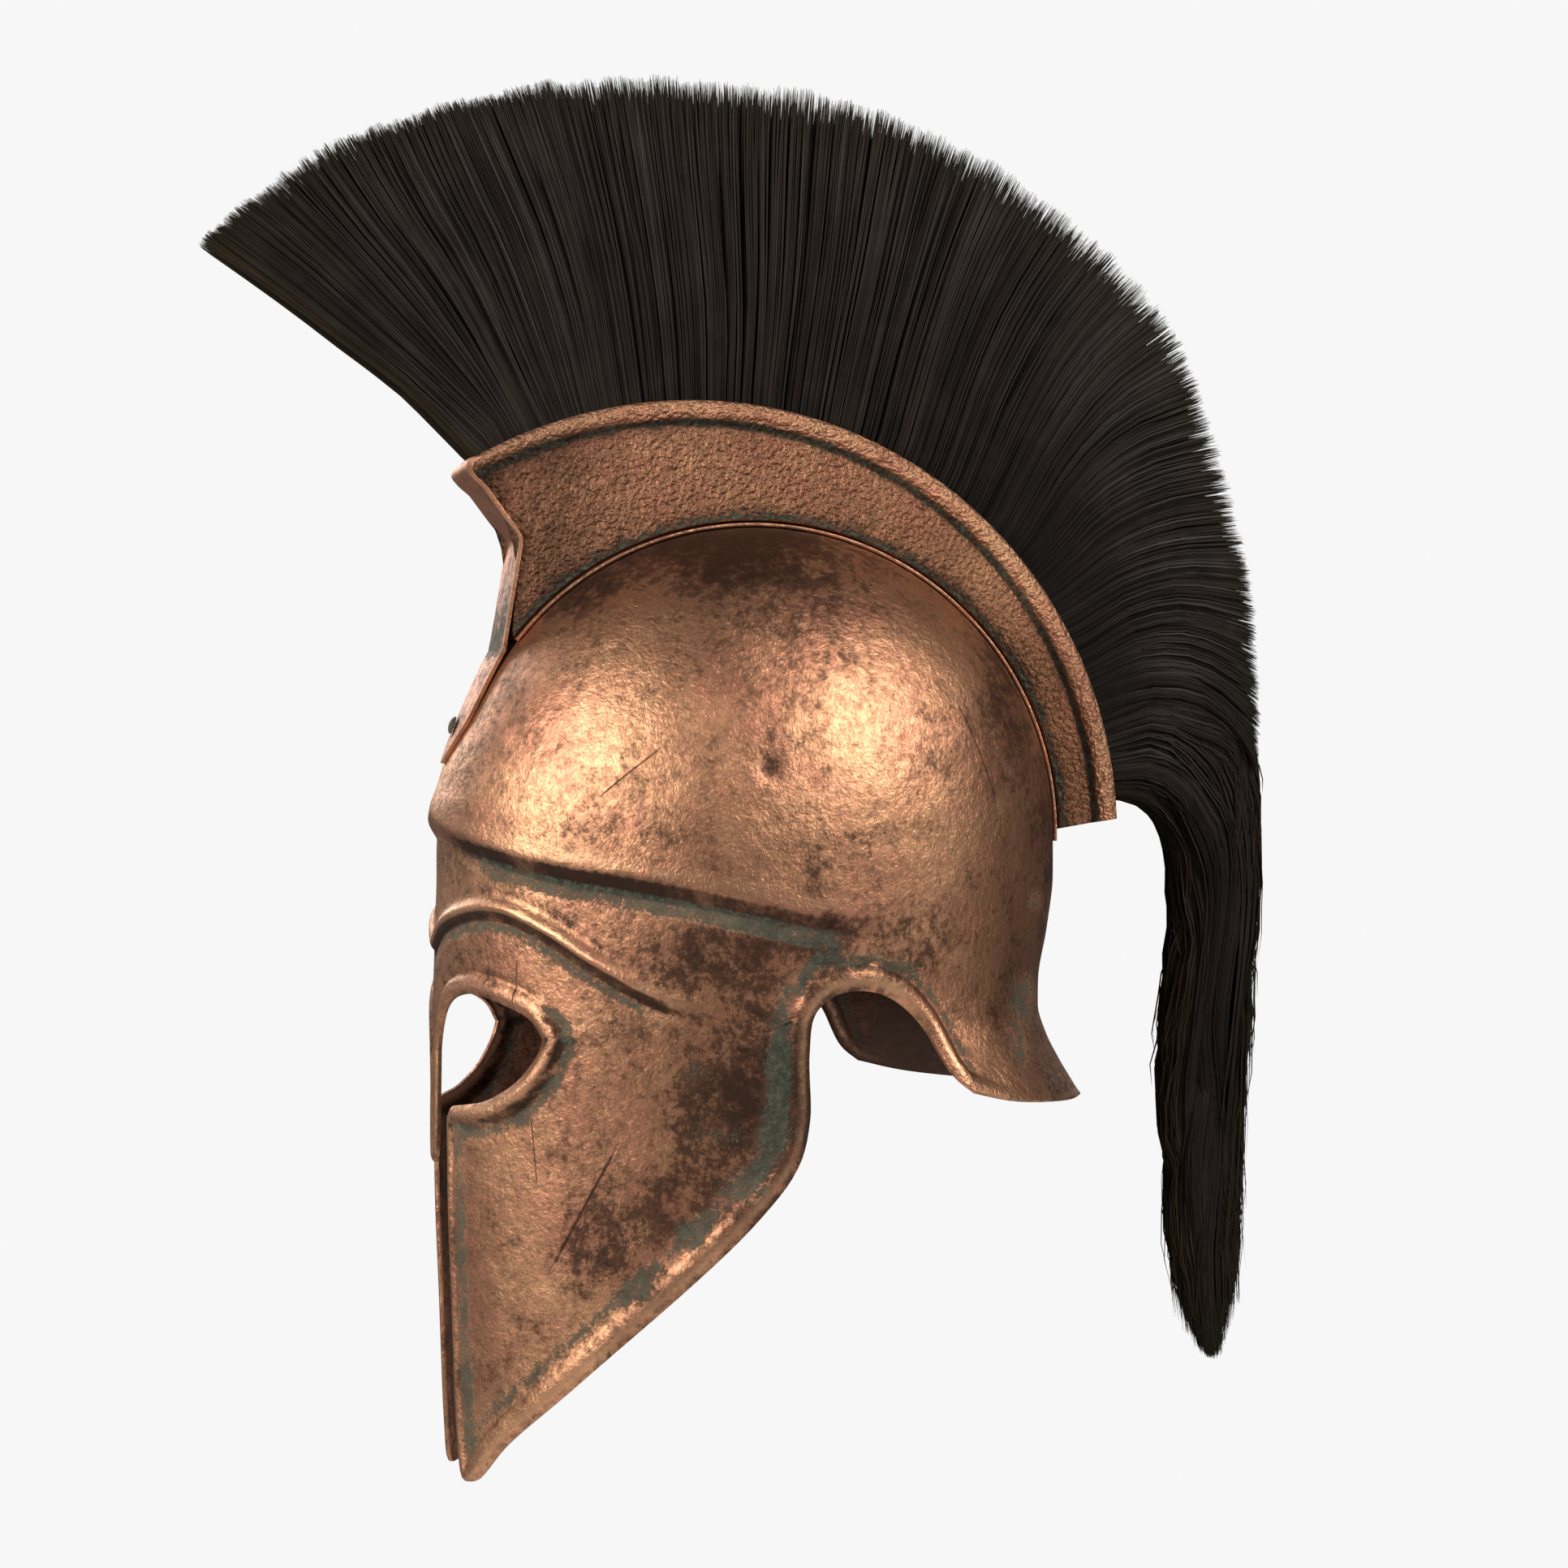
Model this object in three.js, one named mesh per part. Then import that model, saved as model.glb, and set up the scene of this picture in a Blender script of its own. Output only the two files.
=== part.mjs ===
// A bronze Corinthian helmet with a horsehair crest.
// Millimetres, +Z up. The face looks along -Y and the wearer's left is +X.
// The origin is the inside of the crown, where the helmet sits on the head.
import * as THREE from 'three';

/* ------------------------------------------------------------ driving dimensions */

const WALL = 1.5;               // beaten bronze of the shell
const GAP = 0.5;                // clearance between neighbouring pieces
const DOME_RADIUS = 116.5;      // dome in the middle plane, outside
const DOME_HALF_WIDTH = 97.5;
const DOME_CENTRE_Z = WALL - DOME_RADIUS;
const STEP_HEIGHT = 2.3;        // how far the dome stands over the brow plate
const SPLAY_FROM = 95;          // the neck guard splays out from here, in degrees round the shell
const SPLAY_TO = 120;
const AROUND = 1.8;             // about a degree's length round the shell

const SADDLE_THICKNESS = 1.2;   // strip between the dome and the crest holder
const SADDLE_HALF_WIDTH = 18.8;
const SADDLE_FRONT = -51.8;     // degrees from the top of the dome, negative forwards
const SADDLE_REAR = 91.5;

const HOLDER_TOP_RADIUS = 162;  // arc of the rolled rim of the crest holder
const HOLDER_TOP_CENTRE = [-22, -115.1];
const HOLDER_BASE_FRONT = -51.6;
const HOLDER_BASE_REAR = 89.2;
const HOLDER_TOP_FRONT = -29.7;
const HOLDER_TOP_REAR = 88;
const HOLDER_FRONT_BLEND = 0.3; // share of the holder's length over which its front edges straighten

const STRAP_PLATE = 1.6;
const RIVET_Z = -75;
const RIVET_RADIUS = 3;
const RIVET_RISE = 2.2;
const RIVET_COLLAR = 0.3;       // upright edge below the rivet's dome

const PLUME_ROOT_HALF = 14.4;   // half thickness of the hair in the holder
const PLUME_ROOT_RADIUS = 151;  // about the centre of the holder's rim
const PLUME_LOCKS = 40;         // locks from the front of the fan to the end of the tail
const LOCK_NOTCH = 0.978;       // locks end here in the valleys, as a share of their length
const LOCK_RELIEF = 0.13;       // depth of the valleys between locks, as a share of the half thickness

/* ------------------------------------------------------------ short tables */

// Level sections of the shell below its widest level: reach forwards and
// backwards, half width, and extra half width of the splayed neck guard.
const SECTIONS = table(['z', 'front', 'rear', 'half', 'splay'], [
  [-355, 114.5, 130, 73, 29],
  [-290, 116.4, 130, 81, 29],
  [-240, 118, 130, 85.6, 29],
  [-220, 118, 130, 87.6, 29],
  [-210, 117.9, 124.2, 89, 22],
  [-200, 117.9, 118.3, 90.4, 14],
  [-190, 117.9, 113.4, 91.6, 7],
  [-180, 117.9, 110.6, 92.8, 2],
  [-170, 117.6, 110.8, 93.8, 0],
  [-150, 117, 114.2, 96.2, 0],
  [-130, 116.4, 116.5, 97.3, 0],
  [DOME_CENTRE_Z, DOME_RADIUS, DOME_RADIUS, DOME_HALF_WIDTH, 0],
]);

// The crease under the dome's step, from the forehead to where it dies out.
const CREASE = table(['angle', 'z', 'share'], [
  [0, -115.6, 1],
  [25, -125.7, 1],
  [51, -135.4, 1],
  [70, -142.5, 0.95],
  [88, -149.9, 0.75],
  [112, -154, 0],
  [180, -152, 0],
]);

// The raised brow line over nose and eye, fading towards the ear.
const BROW = table(['angle', 'z', 'height'], [
  [0, -155.5, 2],
  [7, -148.3, 2],
  [15, -143.5, 2],
  [25, -141.2, 2],
  [33, -142.9, 2],
  [45, -152.6, 1.9],
  [56, -164.4, 1.7],
  [66, -173.7, 1],
  [74, -180, 0],
]);
const RIDGE_HALF_WIDTH = 4;
const LIP_RISE = 9;             // the step's lip rises over this distance above the crease
const LIP_FALL_FROM = 12;       // and dies away from here
const LIP_FALL = 46;            // over this distance
const BEAD_CREST = 0.45;        // the highest line of a bead, as a share of its width
const BEAD_EDGE = 0.55;         // height of a bead at the very edge, as a share of its full height
const RELIEF_TOP = -70;         // nothing stands out of the dome above this height

// A short ridge that draws the eye's rim out behind its outer corner.
const EYE_TAIL = table(['angle', 'z', 'height'], [
  [41.5, -186.5, 1.6],
  [43.5, -185.5, 1.2],
  [46, -184, 0],
]);

// Edges of the openings on one side, in degrees round the shell and height,
// with the width and the height of the bead that runs beside each edge.
const EDGE = ['angle', 'z', 'bead', 'height'];
const NASAL_SIDE = table(EDGE, [
  [0, -236.8, 4, 0.9],
  [2.9, -235.2, 4, 0.9],
  [4.5, -228, 4, 0.9],
  [5, -208, 4, 0.9],
  [5.4, -195, 4.5, 1.1],
]);
const EYE_TOP = table(EDGE, [
  [5.4, -195, 4.5, 1.1],
  [7, -187.6, 5, 1.3],
  [10, -179.9, 6, 1.5],
  [14.2, -175.1, 7, 1.6],
  [21.6, -173, 7, 1.6],
  [29.3, -175.1, 7, 1.6],
  [38.8, -181.3, 7, 1.6],
  [42.1, -188.4, 7, 1.6],
]);
const EYE_BOTTOM = table(EDGE, [
  [42.1, -188.4, 7, 1.6],
  [40.8, -193.9, 7, 1.6],
  [35.8, -203.9, 7, 1.6],
  [27.4, -211.4, 7, 1.6],
  [20, -213.6, 6.5, 1.5],
  [14, -215.2, 5.5, 1.3],
  [12, -219, 4, 1],
]);
const CHEEK_FRONT = table(EDGE, [
  [12, -219, 4, 1],
  [12.3, -240, 3.5, 0.8],
  [12.5, -290, 3.5, 0.8],
  [13.6, -336, 4, 0.9],
  [15.6, -351, 5, 1.2],
  [18.4, -352.8, 6, 1.4],
]);
const CHEEK_BACK = table(EDGE, [
  [96.5, -172.3, 11, 2],
  [92.9, -178.6, 11, 2],
  [91.9, -193, 11, 2],
  [92.1, -216.5, 11, 2],
  [90.3, -233.9, 11, 2],
  [84.2, -251.2, 11, 2],
  [71.4, -276.8, 11, 2],
  [47.4, -316.5, 11, 2],
  [31.7, -337.4, 10, 1.9],
  [22.6, -350.6, 8, 1.7],
  [18.4, -352.8, 6, 1.4],
]);
const ARCH = table(EDGE, [
  [96.5, -172.3, 11, 2],
  [101.3, -170.5, 11, 2],
  [107.9, -173.3, 11, 2],
  [114.8, -183.5, 11, 1.9],
  [118.8, -201.1, 10, 1.4],
  [121.9, -207, 8, 0.6],
]);
const NECK_BOTTOM = table(EDGE, [
  [121.9, -207, 8, 0.6],
  [130, -210.4, 5, 0.1],
  [146, -212.5, 5, 0],
  [180, -213.5, 5, 0],
]);
const CHEEK_LINE_SAG = 11;      // the grid line from eye corner to ear arch hangs down by this

// The front of the crest holder: a plate from the rolled lip down to the waist, then a
// straight run to a foot and a pointed tab that lie on the dome.
const STRAP = table(['outerY', 'outerZ', 'innerY', 'innerZ', 'half'], [
  [-105.6, 24.4, -102.8, 23.8, 21],
  [-109, 23, -102.2, 21.6, 22],
  [-110, 19.8, -101.6, 19.2, 22],
  [-108, 16.6, -100.4, 16.4, 21],
  [-103.4, 12.4, -99.8, 13.2, 20],
  [-96, 2.4, -94.6, 3.4, 19.2],
  [-90, -5.6, -88.4, -5.2, 18.4],
  [-90, -8.6, -88.4, -8.4, 18.2],
]);
const TAB = table(['z', 'half'], [
  [-48.5, 17.2],
  [-62, 16.6],
  [-72, 15],
  [-80, 9.5],
  [-87.5, 1],
]);

// Hair, from the front of the fan to the end of the tail: root, tip, thickness at mid length.
// In the fan the root is an angle on the holder's arc; in the tail it is a point. The bow is
// how far a lock curves out of its straight line, upwards at the front and outwards behind.
const FAN = table(['rootAngle', 'tipY', 'tipZ', 'half', 'bow'], [
  [-28.6, -206.5, 103.5, 15, 6],
  [-24, -178, 127.5, 15.5, 5],
  [-15, -125, 152.5, 16, 2.5],
  [-4, -62, 168, 16, 0],
  [8, 0, 168.5, 16, 0],
  [22, 62, 154.5, 16, -2],
  [38, 117, 128, 16, -4],
  [54, 157, 91, 16, -5],
  [68, 184, 40, 16, -4],
  [80, 198.5, -8, 16, -2],
]);
const TAIL = table(['rootY', 'rootZ', 'tipY', 'tipZ', 'half', 'bow'], [
  [137, -98.5, 202.5, -57, 15, 0],
  [148, -102, 202.5, -82, 15, 0],
  [158.5, -105.5, 201.5, -104, 15, 0],
  [165.5, -114, 201, -125, 14.5, 0],
  [168.5, -135, 200, -152, 14.5, 0],
  [170, -163, 198.5, -182, 14, 0],
  [167, -190, 197, -208, 13.5, 0],
  [166.5, -220, 196, -236, 13, 0],
  [169.5, -256, 195, -270, 12, 0],
  [173, -295, 194, -303, 9, 0],
  [178.5, -313.5, 189, -318, 4, 0],
]);

/* ------------------------------------------------------------ tables and curves */

function table(names, rows) {
  return rows.map((row) => Object.fromEntries(names.map((name, i) => [name, row[i]])));
}

const clamp01 = (x) => Math.min(1, Math.max(0, x));
const mix = (a, b, t) => a + (b - a) * t;
const radians = (degrees) => (degrees * Math.PI) / 180;
function smooth(x) {
  const t = clamp01(x);
  return t * t * (3 - 2 * t);
}

// Reads one column of a table against another, as a smooth curve that never overshoots its rows.
function reader(rows, against, column) {
  const x = rows.map((row) => row[against]);
  const y = rows.map((row) => row[column]);
  const rise = x.slice(1).map((_, i) => (y[i + 1] - y[i]) / (x[i + 1] - x[i]));
  const slope = y.map((_, i) => {
    if (i === 0 || i === y.length - 1) return rise[Math.min(i, rise.length - 1)];
    const [before, after] = [rise[i - 1], rise[i]];
    return before * after <= 0 ? 0 : (2 * before * after) / (before + after);
  });
  return (at) => {
    const p = Math.min(x[x.length - 1], Math.max(x[0], at));
    let i = 0;
    while (i < x.length - 2 && p > x[i + 1]) i += 1;
    const span = x[i + 1] - x[i];
    const t = (p - x[i]) / span;
    const [t2, t3] = [t * t, t * t * t];
    return (2 * t3 - 3 * t2 + 1) * y[i] + (t3 - 2 * t2 + t) * span * slope[i]
      + (3 * t2 - 2 * t3) * y[i + 1] + (t3 - t2) * span * slope[i + 1];
  };
}

// The same, in straight lines from row to row.
function polyline(rows, against, column) {
  return (at) => {
    let i = 0;
    while (i < rows.length - 2 && at > rows[i + 1][against]) i += 1;
    const t = clamp01((at - rows[i][against]) / (rows[i + 1][against] - rows[i][against]));
    return mix(rows[i][column], rows[i + 1][column], t);
  };
}

// A smooth path through a table's rows; its columns are read together, evenly by length.
function path(rows, names, scale = {}) {
  const keys = names.slice(0, 3);
  const point = (row, wanted) => wanted.map((name) => (row[name] ?? 0) * (scale[name] ?? 1));
  const curve = new THREE.CatmullRomCurve3(
    rows.map((row) => new THREE.Vector3(...point(row, keys), ...(keys.length < 3 ? [0] : []))),
    false, 'centripetal');
  return (share) => {
    const p = curve.getPointAt(clamp01(share));
    const values = [p.x, p.y, p.z];
    return Object.fromEntries(keys.map((name, i) => [name, values[i] / (scale[name] ?? 1)]));
  };
}

/* ------------------------------------------------------------ the shell's surface */

const sectionReaders = Object.fromEntries(['front', 'rear', 'half', 'splay']
  .map((name) => [name, reader(SECTIONS, 'z', name)]));

function section(z) {
  if (z <= DOME_CENTRE_Z) {
    return Object.fromEntries(Object.entries(sectionReaders).map(([name, read]) => [name, read(z)]));
  }
  const reach = Math.sqrt(Math.max(0, DOME_RADIUS ** 2 - (z - DOME_CENTRE_Z) ** 2));
  return { front: reach, rear: reach, half: (reach * DOME_HALF_WIDTH) / DOME_RADIUS, splay: 0 };
}

// A point of the plain shell: angle round it from the middle of the face, and height.
function basePoint(angle, z) {
  const { front, rear, half, splay } = section(z);
  const wide = half + splay * smooth((Math.abs(angle) - SPLAY_FROM) / (SPLAY_TO - SPLAY_FROM));
  const [s, c] = [Math.sin(radians(angle)), Math.cos(radians(angle))];
  return new THREE.Vector3(wide * s, -(c > 0 ? front : rear) * c, z);
}

function baseNormal(angle, z) {
  if (z > DOME_CENTRE_Z) {
    const p = basePoint(angle, z);
    return new THREE.Vector3(p.x / DOME_HALF_WIDTH ** 2, p.y / DOME_RADIUS ** 2,
      (z - DOME_CENTRE_Z) / DOME_RADIUS ** 2).normalize();
  }
  const step = 0.2;
  const around = basePoint(angle + step, z).sub(basePoint(angle - step, z));
  const up = basePoint(angle, z + step).sub(basePoint(angle, z - step));
  return around.cross(up).normalize();
}

const creaseZ = reader(CREASE, 'angle', 'z');
const creaseShare = reader(CREASE, 'angle', 'share');
const browZ = reader(BROW, 'angle', 'z');

// The dome stands over the brow plate: a soft lip above the crease, dying out upwards.
function stepRelief(angle, z) {
  const above = z - creaseZ(angle);
  const lip = smooth(above / LIP_RISE) * (1 - smooth((above - LIP_FALL_FROM) / LIP_FALL));
  return STEP_HEIGHT * creaseShare(angle) * lip;
}

// Points on the plain shell along a table of angle and height, with the other columns.
const TRACE_SPANS = 38;
function trace(rows, names) {
  const side = path(rows, ['angle', 'z'], { angle: AROUND });
  const spans = rows.map((row) => row.angle * AROUND);
  const length = rows.map((row, i) => (i === 0 ? 0
    : Math.hypot(spans[i] - spans[i - 1], row.z - rows[i - 1].z)));
  const along = length.map((_, i) => length.slice(0, i + 1).reduce((a, b) => a + b, 0));
  const stations = rows.map((row, i) => ({ ...row, share: along[i] / along[along.length - 1] }));
  const readers = names.map((name) => [name, reader(stations, 'share', name)]);
  return Array.from({ length: TRACE_SPANS + 1 }, (_, i) => {
    const at = side(i / TRACE_SPANS);
    const extra = Object.fromEntries(readers.map(([name, read]) => [name, read(i / TRACE_SPANS)]));
    return { ...at, ...extra, point: basePoint(at.angle, at.z) };
  });
}

// Distance from a point to the nearest stretch of a trace, and the columns there.
function nearest(point, stations, names) {
  let best = { distance: Infinity };
  const [along, offset] = [new THREE.Vector3(), new THREE.Vector3()];
  for (let i = 0; i < stations.length - 1; i += 1) {
    const [a, b] = [stations[i], stations[i + 1]];
    along.subVectors(b.point, a.point);
    offset.subVectors(point, a.point);
    const t = clamp01(offset.dot(along) / along.lengthSq());
    const distance = offset.addScaledVector(along, -t).length();
    if (distance < best.distance) {
      best = { distance };
      for (const name of names) best[name] = mix(a[name], b[name], t);
    }
  }
  return best;
}

const ridgeTraces = [trace(BROW, ['height']), trace(EYE_TAIL, ['height'])];
const edgeTraces = [NASAL_SIDE, EYE_TOP, EYE_BOTTOM, CHEEK_FRONT, CHEEK_BACK, ARCH, NECK_BOTTOM]
  .map((rows) => trace(rows, ['bead', 'height']));

// A rounded ridge beside an edge: half its height at the edge, full height inside, then flat.
function beadRelief(distance, bead, height) {
  if (distance >= bead) return 0;
  const share = distance / bead;
  if (share < BEAD_CREST) return height * mix(BEAD_EDGE, 1, smooth(share / BEAD_CREST));
  return height * (1 - smooth((share - BEAD_CREST) / (1 - BEAD_CREST)));
}

function relief(angle, z) {
  if (z > RELIEF_TOP) return 0;
  const point = basePoint(angle, z);
  const ridges = ridgeTraces.map((line) => {
    const ridge = nearest(point, line, ['height']);
    return ridge.height * (1 - smooth(ridge.distance / RIDGE_HALF_WIDTH));
  });
  const rims = edgeTraces.map((edge) => {
    const rim = nearest(point, edge, ['bead', 'height']);
    return beadRelief(rim.distance, rim.bead, rim.height);
  });
  return stepRelief(angle, z) + Math.max(...ridges, ...rims);
}

// The outside of the finished shell, or a level above or below it.
function skin(angle, z, lift = 0) {
  return basePoint(angle, z).addScaledVector(baseNormal(angle, z), relief(angle, z) + lift);
}

// Distance down the shell from the crown, and back to a height.
const QUARTER = (Math.PI / 2) * DOME_RADIUS;
function depthAt(z) {
  if (z <= DOME_CENTRE_Z) return QUARTER + DOME_CENTRE_Z - z;
  return DOME_RADIUS * Math.acos(Math.min(1, (z - DOME_CENTRE_Z) / DOME_RADIUS));
}
function heightAt(depth) {
  if (depth >= QUARTER) return DOME_CENTRE_Z - (depth - QUARTER);
  return DOME_CENTRE_Z + DOME_RADIUS * Math.cos(depth / DOME_RADIUS);
}

/* ------------------------------------------------------------ closed bodies */

function geometry(points, triangles) {
  const body = new THREE.BufferGeometry();
  const values = points.flatMap((p) => [p.x, p.y, p.z]);
  body.setAttribute('position', new THREE.Float32BufferAttribute(values, 3));
  let volume = 0;
  for (const [a, b, c] of triangles) {
    volume += points[a].dot(new THREE.Vector3().crossVectors(points[b], points[c]));
  }
  const outward = volume > 0 ? triangles : triangles.map(([a, b, c]) => [a, c, b]);
  body.setIndex(outward.flat());
  body.computeVertexNormals();
  return body;
}

// Collects the faces of a sheet; corners at the same place become one.
class Sheet {
  constructor() {
    this.outer = [];
    this.inner = [];
    this.triangles = [];
    this.known = new Map();
  }

  corner(outer, inner) {
    const key = [outer.x, outer.y, outer.z].map((value) => Math.round(value * 200)).join(',');
    if (!this.known.has(key)) {
      this.known.set(key, this.outer.length);
      this.outer.push(outer);
      this.inner.push(inner);
    }
    return this.known.get(key);
  }

  triangle(a, b, c) {
    if (a !== b && b !== c && c !== a) this.triangles.push([a, b, c]);
  }

  // rows[i][j] holds { outer, inner }.
  grid(rows, flipped = false) {
    const index = rows.map((row) => row.map(({ outer, inner }) => this.corner(outer, inner)));
    for (let i = 0; i < index.length - 1; i += 1) {
      for (let j = 0; j < index[i].length - 1; j += 1) {
        const [a, b, c, d] = [index[i][j], index[i][j + 1], index[i + 1][j + 1], index[i + 1][j]];
        const acrossAC = this.outer[a].distanceTo(this.outer[c]) < this.outer[b].distanceTo(this.outer[d]);
        const pair = acrossAC ? [[a, b, c], [a, c, d]] : [[a, b, d], [b, c, d]];
        for (const [p, q, r] of pair) this.triangle(...(flipped ? [p, r, q] : [p, q, r]));
      }
    }
  }

  // The sheet, its inner face and a wall along every open edge.
  body() {
    const count = this.outer.length;
    const edges = new Map();
    for (const [a, b, c] of this.triangles) {
      for (const [from, to] of [[a, b], [b, c], [c, a]]) edges.set(`${from},${to}`, [from, to]);
    }
    const faces = [];
    for (const [a, b, c] of this.triangles) faces.push([a, b, c], [a + count, c + count, b + count]);
    for (const [from, to] of edges.values()) {
      if (edges.has(`${to},${from}`)) continue;
      faces.push([to, from, from + count], [to, from + count, to + count]);
    }
    return geometry([...this.outer, ...this.inner], faces);
  }
}

// A closed body swept through outlines with the same number of points each.
function swept(outlines, capShape) {
  const size = outlines[0].length;
  const faces = [];
  for (let i = 0; i < outlines.length - 1; i += 1) {
    for (let j = 0; j < size; j += 1) {
      const k = (j + 1) % size;
      const [a, b, c, d] = [i * size + j, i * size + k, (i + 1) * size + k, (i + 1) * size + j];
      faces.push([a, b, c], [a, c, d]);
    }
  }
  const last = (outlines.length - 1) * size;
  for (const [a, b, c] of THREE.ShapeUtils.triangulateShape(capShape, [])) {
    faces.push([a, c, b], [last + a, last + b, last + c]);
  }
  return geometry(outlines.flat(), faces);
}

/* ------------------------------------------------------------ helmet shell */

const mixed = (a, b, t) => ({ angle: mix(a.angle, b.angle, t), z: mix(a.z, b.z, t) });
const apart = (a, b) => Math.hypot((a.angle - b.angle) * AROUND, a.z - b.z);

function evenly(rows, count) {
  const side = path(rows, ['angle', 'z'], { angle: AROUND });
  return Array.from({ length: count + 1 }, (_, i) => side(i / count));
}

// Shares of a line's length at set distances from its two ends, with even spans between.
const MARGIN_MOST = 0.42;       // a margin takes up at most this share of the line
function shares(length, fromStart, fromEnd, count) {
  const squeeze = Math.min(1, (MARGIN_MOST * length) / Math.max(...fromStart, ...fromEnd));
  const start = fromStart.map((distance) => (distance * squeeze) / length);
  const end = fromEnd.map((distance) => 1 - (distance * squeeze) / length);
  const middle = count - start.length - end.length + 1;
  const [low, high] = [start[start.length - 1], end[0]];
  const between = Array.from({ length: middle }, (_, i) => mix(low, high, (i + 1) / (middle + 1)));
  return [...start, ...between, ...end];
}

const CHEEK_SPANS = 11;
const EYE_SPANS = 9;
const ARCH_SPANS = 8;
const NECK_SPANS = 7;
const NASAL_SPANS = 7;
const EYE_ROWS = 4;             // rows of the cheek beside the eye
const SLIT_ROWS = 9;            // and beside the face slit
const CROSSED_AT = [0, 5.4, 41, 90, 132, 180]; // where the grid's corner columns cross the crease
const FRONT_MARGIN = [0, 2.4, 5, 7.5];
const BACK_MARGIN = [11.5, 8, 4.6, 0];
const RIM_ROWS = [11.5, 8, 4.6, 2, 0];
const RIM_MOST = 0.6;           // the rim rows take up at most this share of a column
const DOME_ROWS = 6;
const LIP_ROWS = [30, 18, 10, 4.5];
const BROW_LOWEST = 0.66;       // the brow row lies above this share of a column
const BROW_END = [52, 66];      // between these angles the grid lets go of the brow line

function cheekLine() {
  const eyeCorner = EYE_TOP[EYE_TOP.length - 1];
  const archFront = ARCH[0];
  const length = apart(eyeCorner, archFront);
  return shares(length, FRONT_MARGIN, BACK_MARGIN, CHEEK_SPANS).map((share) => {
    const at = mixed(eyeCorner, archFront, share);
    return { angle: at.angle, z: at.z - CHEEK_LINE_SAG * 4 * share * (1 - share) };
  });
}

// The lower end of each column, and the angle where it crosses the crease.
function columns() {
  const stretch = (points, from, to) => points.map((end, i) => (
    { end, top: mix(from, to, i / (points.length - 1)) }));
  const nasalTop = NASAL_SIDE[NASAL_SIDE.length - 1];
  const stretches = [
    [0, 0.5, 1].map((share) => ({ angle: nasalTop.angle * share, z: nasalTop.z })),
    evenly(EYE_TOP, EYE_SPANS),
    cheekLine(),
    evenly(ARCH, ARCH_SPANS),
    evenly(NECK_BOTTOM, NECK_SPANS),
  ];
  return stretches.flatMap((points, i) => (
    stretch(points, CROSSED_AT[i], CROSSED_AT[i + 1]).slice(i === 0 ? 0 : 1)));
}

// Points down one column: crown, dome, lip, crease, brow line and the bead at its lower edge.
function column({ end, top }, browShare) {
  const crease = { angle: top, z: creaseZ(top) };
  const length = apart(crease, end);
  const lipDepth = depthAt(crease.z + LIP_ROWS[0]);
  const dome = Array.from({ length: DOME_ROWS }, (_, i) => heightAt((lipDepth * i) / DOME_ROWS));
  const upper = [...dome, ...LIP_ROWS.map((above) => crease.z + above)].map((z) => ({ angle: top, z }));
  const browAt = browShare * length;
  const squeeze = Math.min(1, (RIM_MOST * length) / RIM_ROWS[0]);
  const rim = RIM_ROWS.map((above) => length - above * squeeze);
  const ridged = [0, browAt / 2, browAt - RIDGE_HALF_WIDTH, browAt, browAt + RIDGE_HALF_WIDTH,
    mix(browAt + RIDGE_HALF_WIDTH, rim[0], 0.5)];
  const plain = smooth((top - BROW_END[0]) / (BROW_END[1] - BROW_END[0]));
  const lower = [...ridged.map((at, i) => mix(at, (rim[0] * i) / ridged.length, plain)), ...rim];
  return [...upper, ...lower.map((distance) => mixed(crease, end, distance / length))];
}

// Where a column crosses the brow line, as a share of its length below the crease.
function browCrossing({ end, top }) {
  const crease = { angle: top, z: creaseZ(top) };
  let [low, high] = [0, 1];
  for (let i = 0; i < 24; i += 1) {
    const middle = (low + high) / 2;
    const at = mixed(crease, end, middle);
    if (at.z > browZ(at.angle)) low = middle;
    else high = middle;
  }
  return low;
}

function helmetShell() {
  const all = columns();
  let share = 0.5;
  const upper = all.map((one) => {
    if (one.top < BROW_END[1]) share = Math.min(browCrossing(one), BROW_LOWEST);
    return column(one, share);
  });

  const line = cheekLine();
  const front = [...evenly(EYE_BOTTOM, EYE_ROWS), ...evenly(CHEEK_FRONT, SLIT_ROWS).slice(1)];
  const [backTop, backLow] = [CHEEK_BACK.slice(0, 4), CHEEK_BACK.slice(3)];
  const back = [...evenly(backTop, EYE_ROWS), ...evenly(backLow, SLIT_ROWS).slice(1)];
  const cheek = front.map((start, i) => {
    if (i === 0) return line;
    const length = Math.max(apart(start, back[i]), 1e-6);
    const sag = CHEEK_LINE_SAG * Math.max(0, 1 - i / EYE_ROWS);
    return shares(length, FRONT_MARGIN, BACK_MARGIN, CHEEK_SPANS).map((at) => {
      const p = mixed(start, back[i], at);
      return { angle: p.angle, z: p.z - sag * 4 * at * (1 - at) };
    });
  });

  const nasalEdge = evenly(NASAL_SIDE, NASAL_SPANS).reverse();
  const nasal = nasalEdge.map((edge) => [0, 0.5, 1].map((at) => ({ angle: edge.angle * at, z: edge.z })));

  const sheet = new Sheet();
  const turned = (patch) => patch.map((row) => [...row].reverse());
  for (const patch of [upper, turned(cheek), turned(nasal)]) {
    const placed = patch.map((row) => row.map(({ angle, z }) => {
      const outer = skin(angle, z);
      const inner = outer.clone().addScaledVector(baseNormal(angle, z), -WALL);
      if (angle < 1e-9 || angle > 180 - 1e-9) {
        outer.x = 0;
        inner.x = 0;
      }
      return { outer, inner };
    }));
    sheet.grid(placed);
    const mirror = new THREE.Vector3(-1, 1, 1);
    sheet.grid(placed.map((row) => row.map(({ outer, inner }) => (
      { outer: outer.clone().multiply(mirror), inner: inner.clone().multiply(mirror) }))), true);
  }
  return sheet.body();
}

/* ------------------------------------------------------------ crest */

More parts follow.
